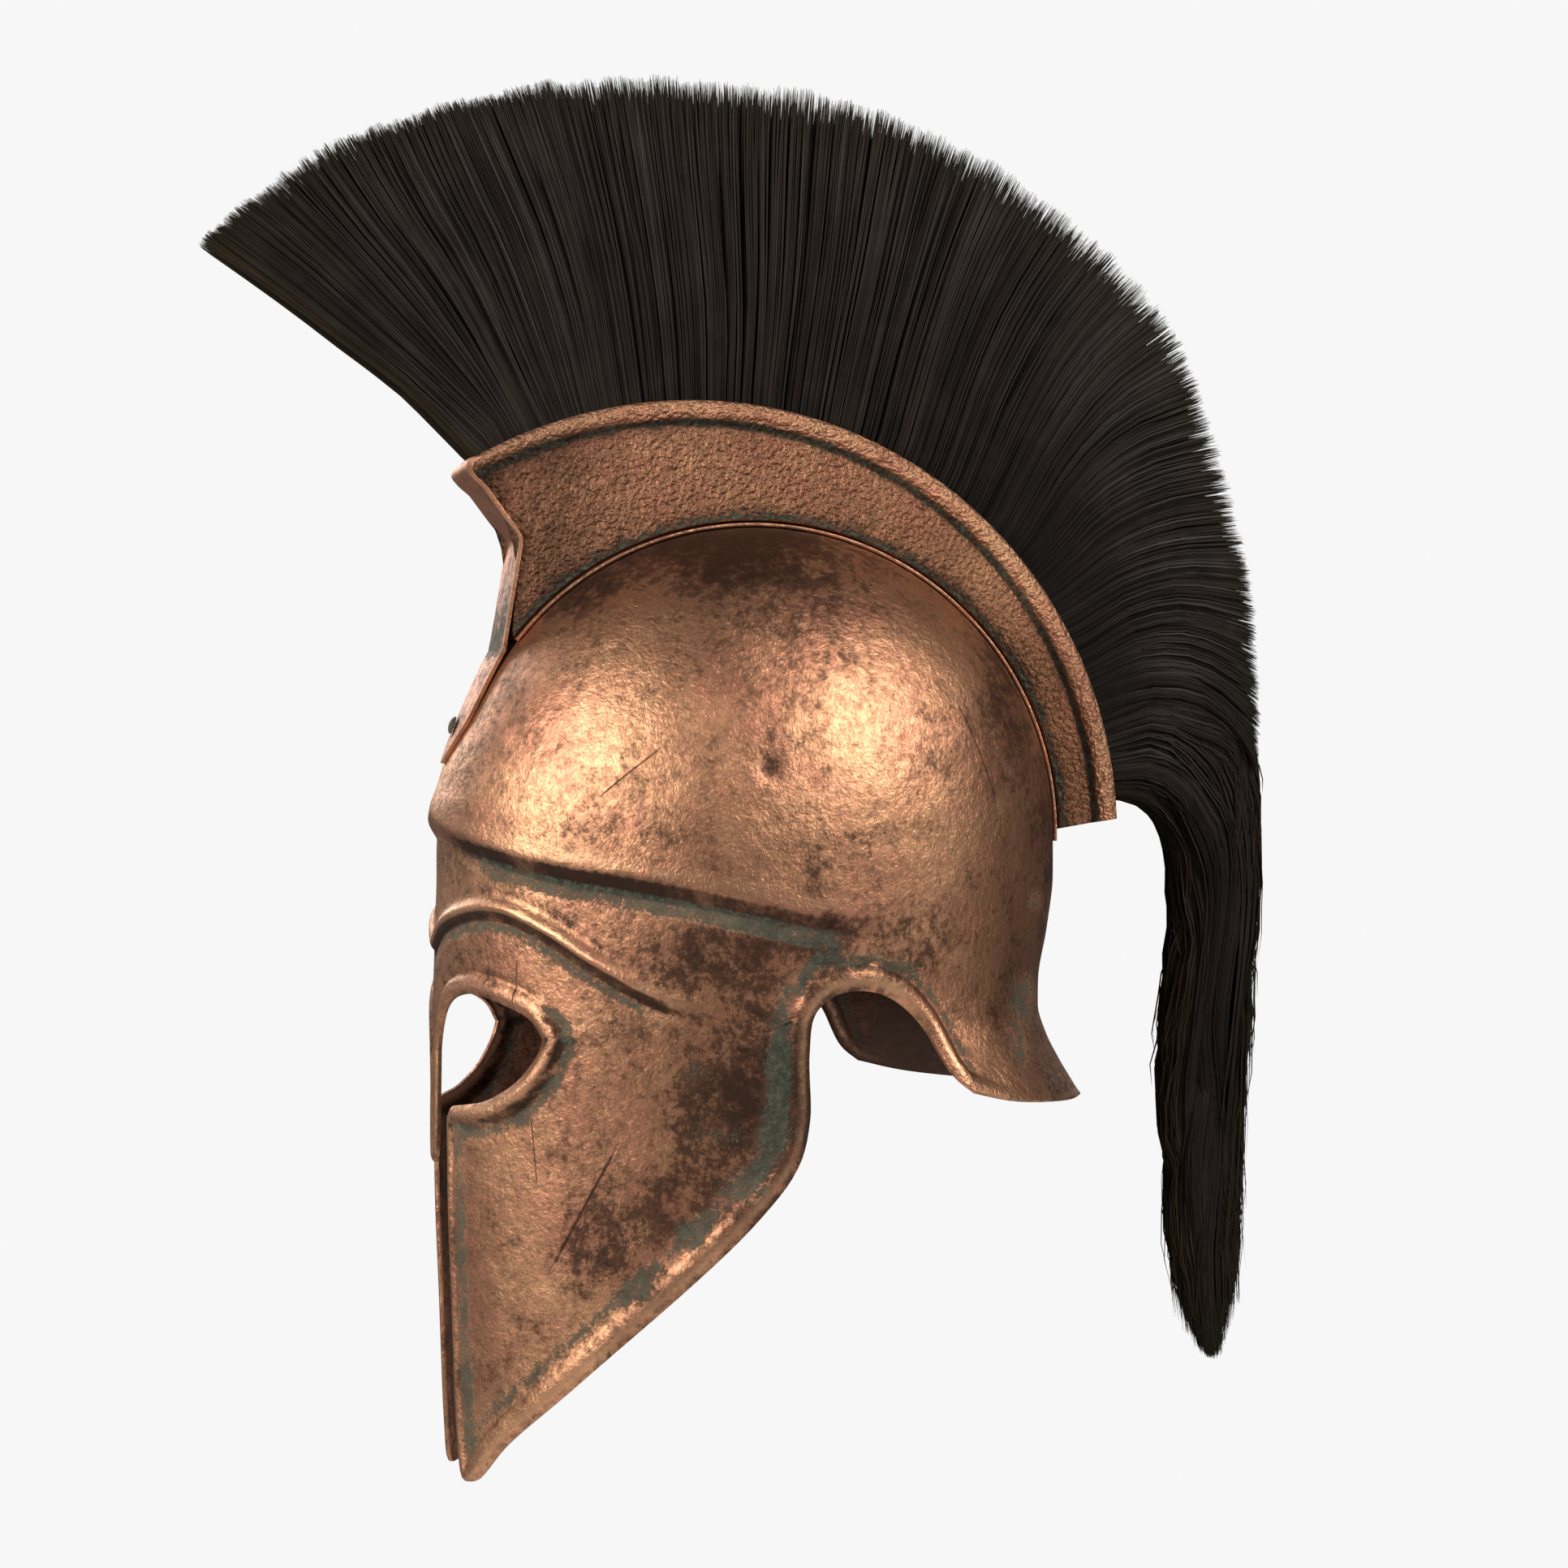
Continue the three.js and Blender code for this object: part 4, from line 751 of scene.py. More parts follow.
def crest_strap(finish):
    """The plate down the holder's front and the tab on the dome, as one front and one back face."""
    outer = through(STRAP[:5, :2], 16)
    outer = np.vstack([outer, through(STRAP[4:, :2], 12)[1:]])
    inner = np.stack([np.interp(outer[:, 1], STRAP[::-1, 3], STRAP[::-1, 2]), outer[:, 1]], 1)
    inner[0] = STRAP[0, 2:4]
    half = np.interp(-outer[:, 1], -STRAP[:, 1], STRAP[:, 4])
    z = np.linspace(TAB[0, 0], TAB[-1, 0], 25)
    across = np.linspace(-1, 1, 13)
    half_tab = reader(TAB[::-1, 0], TAB[::-1, 1])(z)
    angle = np.degrees(np.arcsin(across * half_tab[:, None]
                                 / np.sqrt(DOME_RADIUS**2 - (z[:, None] - DOME_CENTRE_Z)**2)
                                 * DOME_RADIUS / DOME_HALF_WIDTH))
    level = np.repeat(z[:, None], len(across), 1)
    top, back = (np.concatenate([(across * half[:, None])[..., None],
                                 np.repeat(side[:, None], len(across), 1)], -1)
                 for side in (outer, inner))
    seat, normal = base_point(angle, level), base_normal(angle, level)
    faces = []
    for plate, lift in ((top, GAP + STRAP_PLATE), (back, GAP)):
        at = np.vstack([plate, seat + normal * (lift + tab_off(level))[..., None]])
        edge = np.abs(np.tile(across, (len(at), 1)))
        # painted shade in the fold and round the rivet, with verdigris there too; wear with a painted
        # highlight along the plate's edges
        fold = np.exp(-((at[..., 2] - FOLD_Z) / 4)**2)
        rivet = np.linalg.norm(at - (0, -112, RIVET_Z), axis=-1)
        faces.append(shaped_grid("plate", at, {
            "wear_and_highlight": .9 * smooth((edge - .86) / .1),
            "green": np.maximum(fold, hump(rivet - 4, 2.5)),
            "painted_shade": np.maximum(.8 * fold, hump(rivet - 3.6, 2))}))
    strap = joined("crest_front_strap_plate", faces)
    edit(strap, close_with(bpy.ops.mesh.bridge_edge_loops))
    finish_with(strap, "BEVEL", width=.35 * MM, segments=3, limit_method="ANGLE",
                angle_limit=math.radians(50))
    soften(strap)
    return settle(strap, "strap_bronze", "crest_front_strap", finish)


def crest_rivet(finish):
    bpy.ops.object.select_all(action="DESELECT")
    bpy.ops.mesh.primitive_uv_sphere_add(segments=48, ring_count=32, radius=RIVET_RADIUS * MM)
    head = bpy.context.active_object
    head.name = head.data.name = "crest_rivet_head"
    edit(head, lambda: bpy.ops.mesh.bisect(plane_co=(0, 0, 0), plane_no=(0, 0, 1), clear_inner=True,
                                           use_fill=True),
         lambda: bpy.ops.mesh.select_all(action="SELECT"),
         lambda: bpy.ops.transform.resize(value=(1, 1, RIVET_RISE / RIVET_RADIUS)))
    normal = base_normal(np.float64(0), np.float64(RIVET_Z))
    lift = GAP + STRAP_PLATE + float(tab_off(RIVET_Z)) - .1
    seat = base_point(np.float64(0), np.float64(RIVET_Z)) + normal * lift
    head.rotation_euler = Vector(normal).to_track_quat("Z", "Y").to_euler()
    head.location = Vector(seat * MM)
    alone(head)
    bpy.ops.object.transform_apply(location=True, rotation=True, scale=True)
    finish_with(head, "BEVEL", width=.25 * MM, segments=2, limit_method="ANGLE",
                angle_limit=math.radians(60))
    soften(head)
    mark(head, "stain", np.full(len(head.data.vertices), .8))
    return settle(head, "rivet_bronze", "crest_rivet", finish)


# ---------------------------------------------------------------- finishes
class Bench:
    """Builds one finish: the nodes of a material, wired in the order they are made."""

    def __init__(self, name):
        self.material = bpy.data.materials.new(name)
        self.material.use_nodes = True
        self.tree = self.material.node_tree
        self.shader = self.tree.nodes["Principled BSDF"]
        self.place = self.add("ShaderNodeTexCoord").outputs["Object"]

    def add(self, kind, inputs=(), **settings):
        node = self.tree.nodes.new(kind)
        for name, value in settings.items():
            setattr(node, name, value)
        for key, value in dict(inputs).items():
            self.feed(node.inputs[key], value)
        return node

    def feed(self, socket, value):
        if isinstance(value, bpy.types.NodeSocket):
            self.tree.links.new(value, socket)
        else:
            socket.default_value = value

    def mask(self, name):
        return self.add("ShaderNodeAttribute", attribute_name=name).outputs["Fac"]

    def noise(self, size_mm, detail=4.0, rough=.6, stretch=(1, 1, 1), shift=0.0, twist=0.0):
        """Noise whose blotches are about this many millimetres across, around one half."""
        moved = self.add("ShaderNodeMapping", {"Vector": self.place, "Scale": stretch,
                                               "Location": (shift, shift * .7, -shift)})
        return self.add("ShaderNodeTexNoise", {"Vector": moved.outputs[0], "Scale": 1000 / size_mm,
                                               "Detail": detail, "Roughness": rough,
                                               "Distortion": twist}).outputs[0]

    def math(self, operation, a, b=0.0, clamp=False):
        return self.add("ShaderNodeMath", {0: a, 1: b}, operation=operation, use_clamp=clamp).outputs[0]

    def times(self, a, b):
        return self.math("MULTIPLY", a, b)

    def plus(self, a, b):
        return self.math("ADD", a, b)

    def total(self, *weighted):
        """A sum of (value, weight) pairs and plain numbers."""
        whole = None
        for term in weighted:
            part = self.times(*term) if isinstance(term, tuple) else term
            whole = part if whole is None else self.plus(whole, part)
        return whole

    def spread(self, value, low, high, to_low=0.0, to_high=1.0, soft=True):
        node = self.add("ShaderNodeMapRange", {0: value, 1: low, 2: high, 3: to_low, 4: to_high})
        node.interpolation_type = "SMOOTHSTEP" if soft else "LINEAR"
        return node.outputs[0]

    def blend(self, share, a, b):
        node = self.add("ShaderNodeMix", data_type="RGBA")
        self.feed(node.inputs["Factor"], share)
        self.feed(node.inputs["A"], a)
        self.feed(node.inputs["B"], b)
        return node.outputs["Result"]

    def bump(self, height, millimetres, under=None):
        node = self.add("ShaderNodeBump", {"Height": height, "Distance": millimetres * MM, "Strength": 1.0})
        if under is not None:
            self.feed(node.inputs["Normal"], under)
        return node.outputs[0]

    def scratch(self, start, end, normal, width, depth=1.0):
        """A straight cut across the surface from one point to another, 0 to 1."""
        a, b, n = Vector(start), Vector(end), Vector(normal).normalized()
        along = b - a
        side = along.cross(n).normalized()
        reach = along / along.length_squared
        moved = self.add("ShaderNodeVectorMath", {0: self.place, 1: a}, operation="SUBTRACT").outputs[0]

        def dot(direction):
            return self.add("ShaderNodeVectorMath", {0: moved, 1: direction},
                            operation="DOT_PRODUCT").outputs["Value"]
        near = self.spread(self.math("ABSOLUTE", dot(side)), 0, width, depth, 0)
        run = dot(reach)
        inside = self.times(self.spread(run, 0, .15), self.spread(run, .8, 1, 1, 0))
        return self.times(self.times(near, inside), self.math("GREATER_THAN", dot(n), -.02))


COPPER = (.58, .27, .17, 1)
GOLD = (.74, .405, .23, 1)
UMBER = (.085, .038, .024, 1)
# the deepest colour, for painted shade in hollows and for the darkest stains
DEEP = (.035, .018, .012, 1)
# bright worn metal, also standing in for a painted highlight
WORN_AND_HIGHLIT = (.80, .50, .31, 1)
TEAL = (.02, .034, .023, 1)
PALE_TEAL = (.095, .11, .075, 1)
HAIR_DARK = (.0035, .0024, .0019, 1)
HAIR_PALE = (.023, .0165, .0136, 1)
HAIR_TIP = (.024, .019, .009, 1)
HAIR_OLIVE = (.045, .03, .01, 1)

# Cuts in the shell: angle and height of both ends, width in millimetres, how dark
CUTS = [(52.7, -102.3, 65.3, -82.3, .4, .35), (126.8, -67, 132.9, -108, .6, .6),
        (44.1, -271.7, 58.7, -223.3, .65, 1), (35.2, -158.5, 34.9, -183.1, .4, .6),
        (39.4, -215.4, 41.2, -242.4, .4, .5)]


def cut_marks(b, cuts):
    marks = None
    for a1, z1, a2, z2, width, depth in cuts:
        ends = [base_point(np.float64(a), np.float64(z)) * MM for a, z in ((a1, z1), (a2, z2))]
        normal = base_normal(np.float64((a1 + a2) / 2), np.float64((z1 + z2) / 2))
        line = b.scratch(ends[0], ends[1], normal, width * MM, depth)
        marks = line if marks is None else b.math("MAXIMUM", marks, line)
    return marks


def aged_bronze(name, umber=0.0, gold=.5, grain=.3, hammer=1.0, gloss=.42, cuts=(), verdigris=0.0,
                mottled=1.0, dark_behind=0.0, dark_from=(.03, .08)):
    """Beaten bronze under its patina: how brown, yellow, grainy, hammered, rough, green and
    blotchy it is, its cuts, and how much darker it grows between two places from front to back."""
    b = Bench(name)
    painted_shade, green, wear_and_highlight = b.mask("painted_shade"), b.mask("green"), b.mask("wear_and_highlight")
    stain, brown_and_shade, grainy = b.mask("stain"), b.mask("brown_and_shade"), b.mask("grain")
    broad = b.noise(34, 4, .6, shift=.3, twist=.3)
    cloud = b.noise(52, 8, .66, shift=1.7, twist=.4)
    mottle = b.noise(9, 8, .72, twist=.3)
    speck = b.noise(3, 6, .78, shift=.9)
    tooth = b.noise(1.1, 4, .7)
    marks = cut_marks(b, cuts) if cuts else 0.0
    # colour: copper and gold in patches, umber in clouds, mottle and stains, and painted shade in hollows
    # and in the brown spots on the dome's top
    warm = b.spread(b.total((broad, .55), (mottle, .45), gold - .5), .36, .62)
    metal = b.blend(warm, COPPER, GOLD)
    patchy = b.spread(b.total((mottle, .6), (speck, .4)), .38, .62, .5, 1.1)
    uneven = b.total((b.spread(b.total((cloud, .75), (mottle, .25)), .43, .58), .36),
                     (b.spread(speck, .41, .61), .44), (b.spread(mottle, .42, .62), .3), -.16)
    flecks = b.spread(b.noise(1.7, 3, .6, shift=2.1), .6, .72)
    back = b.add("ShaderNodeSeparateXYZ", {0: b.place}).outputs[1]
    behind = b.spread(back, *dark_from, 0, dark_behind)
    dark = b.total((uneven, mottled), (b.times(brown_and_shade, patchy), .95), (painted_shade, .3), (marks, .6), behind,
                   (flecks, .4), (wear_and_highlight, -.3), umber)
    # where painted shade and dark stains stack up, the colour goes on to the deepest one
    deeper = b.times(b.spread(dark, .95, 1.8), .75)
    dark = b.math("MULTIPLY", dark, 1.0, clamp=True)
    metal = b.blend(deeper, b.blend(b.times(dark, .94), metal, UMBER), DEEP)
    # painted shade: the hollows go to the deepest colour, ragged at their edges
    ragged = b.total((mottle, .9), (speck, .9), -.9)
    deep = b.spread(b.plus(painted_shade, b.times(ragged, b.spread(painted_shade, 0, .3))), .3, .85)
    metal = b.blend(b.times(deep, b.spread(cloud, .38, .56, .5, .92)), metal, DEEP)
    # worn metal with a painted highlight on the beads, crests and edges
    rubbed = b.spread(b.total((mottle, .4), (speck, .6)), .42, .58)
    worn_and_highlit = b.math("MULTIPLY", b.times(wear_and_highlight, rubbed), .45, clamp=True)
    metal = b.blend(worn_and_highlit, metal, WORN_AND_HIGHLIT)
    crumbs = b.total((mottle, .3), (speck, .35), (tooth, .35))
    crust = b.total((green, .8), (stain, .8), (crumbs, 3.4), -1.72 + verdigris)
    crust = b.spread(crust, .42, .85)
    crust = b.times(crust, b.spread(wear_and_highlight, .2, .6, 1, 0))
    crust = b.times(crust, b.spread(tooth, .3, .5, .35, 1))
    teal = b.blend(b.spread(speck, .42, .66), TEAL, PALE_TEAL)
    b.feed(b.shader.inputs["Base Color"], b.blend(b.times(crust, .85), metal, teal))
    dull = b.total((crust, .8), (dark, .25))
    b.feed(b.shader.inputs["Metallic"], b.math("SUBTRACT", 1.0, dull, clamp=True))
    rough = b.total((dark, .1), (crust, .3), (worn_and_highlit, -.13), (speck, .2))
    b.feed(b.shader.inputs["Roughness"], b.math("ADD", rough, gloss - .13, clamp=True))
    # relief: hammering, a leathery skin, pits and a fine tooth
    hammered = b.noise(17, 2, .5, shift=.5)
    skin = b.noise(2.4, 3, .6, shift=.2)
    bump = b.bump(hammered, .7 * hammer)
    bump = b.bump(b.noise(6.5, 3, .6, shift=.8, twist=.4), .2 * hammer, bump)
    bump = b.bump(skin, .34 * hammer, bump)
    rough_bits = b.total((tooth, 1.0), (speck, .6), (crust, .5))
    bump = b.bump(rough_bits, .17 + .2 * grain, bump)
    if grain > .5:
        bump = b.bump(b.times(grainy, b.noise(1.9, 2, .5, shift=.2)), 6 * grain, bump)
    if cuts:
        bump = b.bump(b.math("SUBTRACT", 1.0, marks), .7, bump)
    b.feed(b.shader.inputs["Normal"], bump)
    return b.material


def horsehair(name):
    b = Bench(name)
    tone, olive, tip = b.mask("tone"), b.mask("olive"), b.mask("tip")
    smoke = b.noise(28, 3, .6)
    # the tone mark holds each strand's own tone and, in the fan, its painted shade and light
    lit = b.math("ADD", b.times(tone, .8), b.times(b.spread(smoke, .4, .65), .35), clamp=True)
    strand = b.blend(lit, HAIR_DARK, HAIR_PALE)
    strand = b.blend(b.times(tip, .5), strand, HAIR_TIP)
    strand = b.blend(olive, strand, HAIR_OLIVE)
    b.feed(b.shader.inputs["Base Color"], strand)
    b.feed(b.shader.inputs["Roughness"], b.spread(tone, 0, 1, .46, .6))
    b.shader.inputs["Specular IOR Level"].default_value = .13
    return b.material


# ---------------------------------------------------------------- hair
# Courses of the hair in the middle plane from root to tip, as y, z in pairs: first the fan from
# its front edge backwards, then the three that fall into the tail.
FAN_COURSES = [
    [(-94, 16), (-108, 27.5), (-128, 48), (-154.5, 67.5), (-176, 83), (-206, 103)],
    [(-91, 22), (-98, 34), (-117, 52), (-141, 74), (-164, 96), (-191, 118)],
    [(-84, 26), (-90, 37), (-105, 63), (-122, 89), (-141, 114), (-158.5, 141)],
    [(-73, 30), (-78, 41), (-90, 68), (-102, 96), (-117, 125), (-129, 152.5)],
    [(-61, 33), (-64, 44), (-72, 76), (-82, 107), (-94, 136), (-104, 160)],
    [(-46, 35), (-48, 47), (-53, 79), (-59, 110), (-66, 139), (-73, 166.8)],
    [(-15, 37), (-15, 49), (-15, 79), (-17, 110), (-19, 140), (-20, 169.2)],
    [(24, 31), (26, 43), (31, 71), (37, 102), (42, 133), (46.5, 161.5)],
    [(59, 15), (64, 26), (75, 60), (88.5, 93), (110, 132.5)],
    [(89, -6), (97, 7), (112, 36), (132.5, 64.5), (159.5, 88)],
    [(101, -16), (111, -5), (128, 18), (150.5, 34.5), (180.5, 45)],
    [(113, -31), (124, -24), (142, -12), (163.5, -4.5), (193.5, -2)],
    [(119, -46), (130, -41), (146, -31), (167.5, -26), (199, -32)],
    [(124, -61), (135, -56), (152, -49), (174, -50), (200.5, -66)],
    [(127, -72), (138, -68), (155, -63), (177, -66), (191, -78), (199.5, -93)],
]
TAIL_COURSES = [
    [(127, -70), (139, -64), (158, -56), (178, -60), (196, -78), (200.6, -104), (197.5, -154), (194.3, -201),
     (192, -248), (191, -289), (190, -316)],
    [(128, -87), (142, -85), (156, -82), (168, -88), (178, -103), (183, -132), (182, -185), (180.5, -232),
     (180, -273), (184, -319)],
    [(128, -103.5), (143, -101.8), (151.5, -103), (160.5, -108), (165.5, -120), (167.5, -140), (168.6, -166),
     (165, -196), (166, -228), (170, -264), (172.5, -290), (177.5, -317)],
]
HALF_ROOT, HALF_MIDDLE, HALF_TIP = 13.8, 15.2, 11.5
FAN_STRANDS, FAN_SPANS = 11000, 8
CORE = .3                          # share of the strands that fill the middle of fan and tail
TAIL_STRANDS, TAIL_SPANS = 4000, 22
COURSE_POINTS = 33
HAIR_BACK = 202.2                  # no strand of the tail reaches further back
SEED = 11


def across_courses(courses):
    """Reads (course number, share of the length) smoothly over a family of courses."""
    table = np.array([through(np.array(c, float), COURSE_POINTS - 1) for c in courses])
    last = len(courses) - 1

    def read(u, t):
        u = np.clip(u, 0, last)
        i = np.clip(u.astype(int), 0, last - 1)
        f = (u - i)[..., None]
        s = np.clip(t, 0, 1) * (COURSE_POINTS - 1)
        k = np.clip(s.astype(int), 0, COURSE_POINTS - 2)
        g = (s - k)[..., None]

        def row(n):
            n = np.clip(n, 0, last)
            return table[n, k] * (1 - g) + table[n, k + 1] * g
        a, b, c, d = row(i - 1), row(i), row(i + 1), row(i + 2)
        a = np.where((i == 0)[..., None], 2 * b - c, a)
        d = np.where((i == last - 1)[..., None], 2 * c - b, d)
        return b + .5 * f * (c - a + f * (2 * a - 5 * b + 4 * c - d + f * (3 * (b - c) + d - a)))
    return read


fan_at, tail_at = across_courses(FAN_COURSES), across_courses(TAIL_COURSES)


def ribbons(name, line, width, marks, lean, finish):
    """One mesh of flat strands: line is strands x points x 3, width strands x points."""
    count, points = line.shape[:2]
    along = np.gradient(line, axis=1)
    along /= np.maximum(np.linalg.norm(along, axis=-1, keepdims=True), 1e-9)
    facing = np.repeat(lean[:, None, :], points, 1)
    side = np.cross(along, facing)
    side /= np.maximum(np.linalg.norm(side, axis=-1, keepdims=True), 1e-9)
    half = side * width[..., None] / 2
    at = np.stack([line - half, line + half], 2).reshape(-1, 3) * MM
    start = (np.arange(count)[:, None] * points + np.arange(points - 1)[None]) * 2
    quads = np.stack([start, start + 1, start + 3, start + 2], -1).reshape(-1, 4)
    mesh = bpy.data.meshes.new(name)
    mesh.vertices.add(len(at))
    mesh.vertices.foreach_set("co", at.astype(np.float32).ravel())
    mesh.loops.add(quads.size)
    mesh.loops.foreach_set("vertex_index", quads.astype(np.int32).ravel())
    mesh.polygons.add(len(quads))
    mesh.polygons.foreach_set("loop_start", np.arange(0, quads.size, 4, dtype=np.int32))
    mesh.update(calc_edges=True)
    mesh.validate()
    piece = bpy.data.objects.new(name, mesh)
    bpy.context.collection.objects.link(piece)
    for label, values in marks.items():
        mark(piece, label, np.repeat(values.reshape(-1), 2))
    mesh.polygons.foreach_set("use_smooth", np.ones(len(quads), bool))
    return settle(piece, "horsehair", "plume", finish)


def fan_width(t):
    """Half the fan's thickness along a strand."""
    return np.where(t < .35, HALF_ROOT + (HALF_MIDDLE - HALF_ROOT) * smooth(t / .35),
                    HALF_MIDDLE + (HALF_TIP - HALF_MIDDLE) * smooth((t - .35) / .65))


tail_width = reader([0, .12, .3, .7, .9, 1], [13.5, 15, 14.5, 13, 9, 3])


def strand_marks(tone, olive, t, tip_from):
    """A strand's tone, which in the fan carries painted shade and light, its share of olive, and its
    bleached tip.
    """
    tips = smooth((t - tip_from) / (1 - tip_from)) + np.zeros((len(tone), 1))
    return {"tone": tone + 0 * tips, "olive": olive[:, None] + 0 * tips, "tip": tips}


def fan_hair(name, side, rng, finish):
    """One side of the upright fan."""
    last = len(FAN_COURSES) - 1
    n, points = FAN_STRANDS, FAN_SPANS + 1
    front = rng.random(n) < .07
    u = np.where(front, rng.random(n)**2 * .12, rng.random(n) * last)
    # locks: neighbours share their tone, length, offset and lean
    lock = np.floor(u * 13 + .5 * np.sin(u * 7)).astype(int)
    locks = lock.max() + 1
    lock_tone, lock_long, lock_out, lock_lean = (rng.random(locks) for _ in range(4))
    finest = np.floor(u * 70).astype(int)
    fine_tone, fine_long = rng.random(finest.max() + 1), rng.random(finest.max() + 1)
    t = np.linspace(0, 1, points)[None]
    reach = 1 - .016 * lock_long[lock] * (u > .3) - .014 * fine_long[finest] - .06 * rng.random(n)**3
    reach -= .2 * front * rng.random(n)**1.5
    run = t * reach[:, None]
    centre = (lock + .5) / 13
    drift = (centre - u)[:, None] * .16 * smooth(run) + (rng.random((n, 1)) - .5) * .05 * run
    flat = fan_at(np.clip(u[:, None] + drift, 0, last), run)
    core = rng.random(n) < CORE
    depth = np.where(front | core, rng.random(n), 1 - .5 * rng.random(n)**1.6)[:, None]
    ripple = .5 * np.sin(run * (5 + 4 * lock_lean[lock][:, None]) + 6.3 * lock_tone[lock][:, None])
    x = side * np.maximum(0, depth * fan_width(run) - .9 * lock_out[lock][:, None] * smooth(run * 2)
                          + ripple * smooth(run * 3) * depth)
    line = np.concatenate([x[..., None], flat], -1)
    width = (.42 + .25 * rng.random(n))[:, None] * (1 - .85 * smooth((t - .86) / .14)) + 0 * run
    lean = np.array([side, 0, 0]) + rng.normal(0, .27, (n, 3))
    lean[core] = rng.normal(0, 1, (core.sum(), 3))
    lean[front & (depth[:, 0] < .8)] = np.array([side * .3, -.8, -.5]) + rng.normal(0, .2, 3)
    tone = np.clip(.3 * lock_tone[lock] + .35 * fine_tone[finest] + .5 * rng.random(n)**2 - .05, 0, 1)
    # painted shade over the fan's rear and towards its tips, and painted light near the roots of its front,
    # carried in each strand's tone
    rear, fore = smooth((u - 6) / 4)[:, None], smooth((8 - u) / 4)[:, None]
    painted_shade_and_light = (1 - .5 * rear) * (1 - .12 * smooth((run - .5) / .4))
    painted_shade_and_light = painted_shade_and_light + .28 * (1 - smooth((run - .12) / .35)) * fore
    olive = np.where(u < .14, .5 * smooth((.14 - u) / .08), 0) * rng.random(n)
    return ribbons(name, line, width, strand_marks(tone[:, None] * painted_shade_and_light, olive, t, .78), lean, finish)


def tail_hair(name, side, rng, finish):
    """One side of the tail, which leaves the fan's rear and hangs behind the neck."""
    n, points = TAIL_STRANDS, TAIL_SPANS + 1
    q = rng.random(n)                                   # 0 is the back edge, 1 the edge by the neck
    lock = np.floor(q * 9 + 2 * rng.random(n)).astype(int)
    locks = lock.max() + 1
    lock_tone, lock_phase, lock_out, lock_wave = (rng.random(locks) for _ in range(4))
    ends = np.where(q < .3, .35 + .65 * rng.random(n)**.6, 1 - .14 * rng.random(n)**1.4)
    ends = ends - .07 * np.abs(2 * q - 1)**3
    ends = np.where(rng.random(n) < .12, .45 + .5 * rng.random(n), ends)
    t = np.linspace(0, 1, points)[None]**1.35          # closer together where the hair turns down
    run = t * ends[:, None]
    phase = 6.3 * lock_phase[lock][:, None]
    wave = np.sin(run * (12 + 8 * lock_wave[lock][:, None]) + phase)
    stray = .035 * rng.normal(size=(n, 1)) * (1 + 2 * smooth((run - .5) / .5))
    swing = (.05 + .15 * lock_wave[lock][:, None]**2) * wave * smooth((run - .08) / .2)
    shifted = np.clip(q[:, None] + swing + stray, -.03, 1.03)
    flat = tail_at(shifted * 2, run)
    # strands at both edges stray outwards in waves, and turn outwards at their ends
    edge_side = np.sign(.5 - q)[:, None] * smooth((np.abs(2 * q - 1) - .55) / .35)[:, None]
    edge_wave = np.sin(run * 34 + phase) + .6 * np.sin(run * 71 + 2 * phase)
    flare = (.9 + 1.8 * rng.random((n, 1))) * smooth((t - .72) / .28)
    flyaway = (rng.random((n, 1)) < .07) * (.6 + 1.6 * rng.random((n, 1))) * smooth((t - .55) / .45)
    flat[..., 0] += edge_side * (smooth((run - .2) / .15) * (1.1 * edge_wave + 1.3 * rng.normal(size=(n, 1)))
                                 + flare + flyaway)
    past = np.maximum(0, flat[..., 0] - HAIR_BACK + 1.5)
    flat[..., 0] += 1.5 * np.tanh(past / 1.5) - past
    across = 2 * shifted - 1
    joined_above = np.where(across < 0, smooth((run - .05) / .25), 1)
    inside = np.sqrt(np.maximum(0, 1 - across**2 * .85 * joined_above))
    middle = rng.random(n) < CORE
    depth = np.where(middle, rng.random(n), 1 - .6 * rng.random(n)**1.5)[:, None]
    swirl = 1 - .3 * smooth(run * 4) * (lock_out[lock][:, None] + .5 * np.cos(run * 10 + phase))
    x = side * depth * tail_width(run) * inside * np.clip(swirl, .3, 1.05)
    line = np.concatenate([x[..., None], flat], -1)
    width = (.45 + .3 * rng.random(n))[:, None] * (1 - .85 * smooth((t - .9) / .1)) + 0 * run
    lean = np.array([side, 0, 0]) + rng.normal(0, .3, (n, 3))
    lean[middle] = rng.normal(0, 1, (middle.sum(), 3))
    tone = np.clip(.6 * lock_tone[lock] + .5 * rng.random(n)**1.6, 0, 1)
    edge = .35 * smooth((q - .8) / .2) + .25 * smooth((.1 - q) / .1)
    return ribbons(name, line, width, strand_marks(tone[:, None], edge, t, .8), lean, finish)


def hair_body(name, read, last, spans, halves, finish):
    """The dense inside of the hair: a closed body a little within the strands."""
    u, t = np.meshgrid(np.linspace(.015, last - .015, spans), np.linspace(0, .91, 34), indexing="ij")
    flat = read(u, t)
    wide = halves(u, t)
    faces = []
    for side in (1, -1):
        faces.append(shaped_grid("inner hair", np.concatenate([(side * wide)[..., None], flat], -1),
                                 {"tone": .12 + 0 * t, "olive": 0 * t, "tip": 0 * t}))
    body = joined(name, faces)
    edit(body, close_with(bpy.ops.mesh.bridge_edge_loops))
    soften(body, 60)
    return settle(body, "horsehair", "plume", finish)


def fan_half(u, t):
    return fan_width(t) * .72 * (1 - .9 * smooth((t - .6) / .31))


def tail_half(u, t):
    rounding = np.sqrt(np.maximum(0, 1 - (u - 1)**2))
    return np.maximum(.4, tail_width(t) * rounding * .62 * (1 - .7 * smooth((t - .8) / .155)))


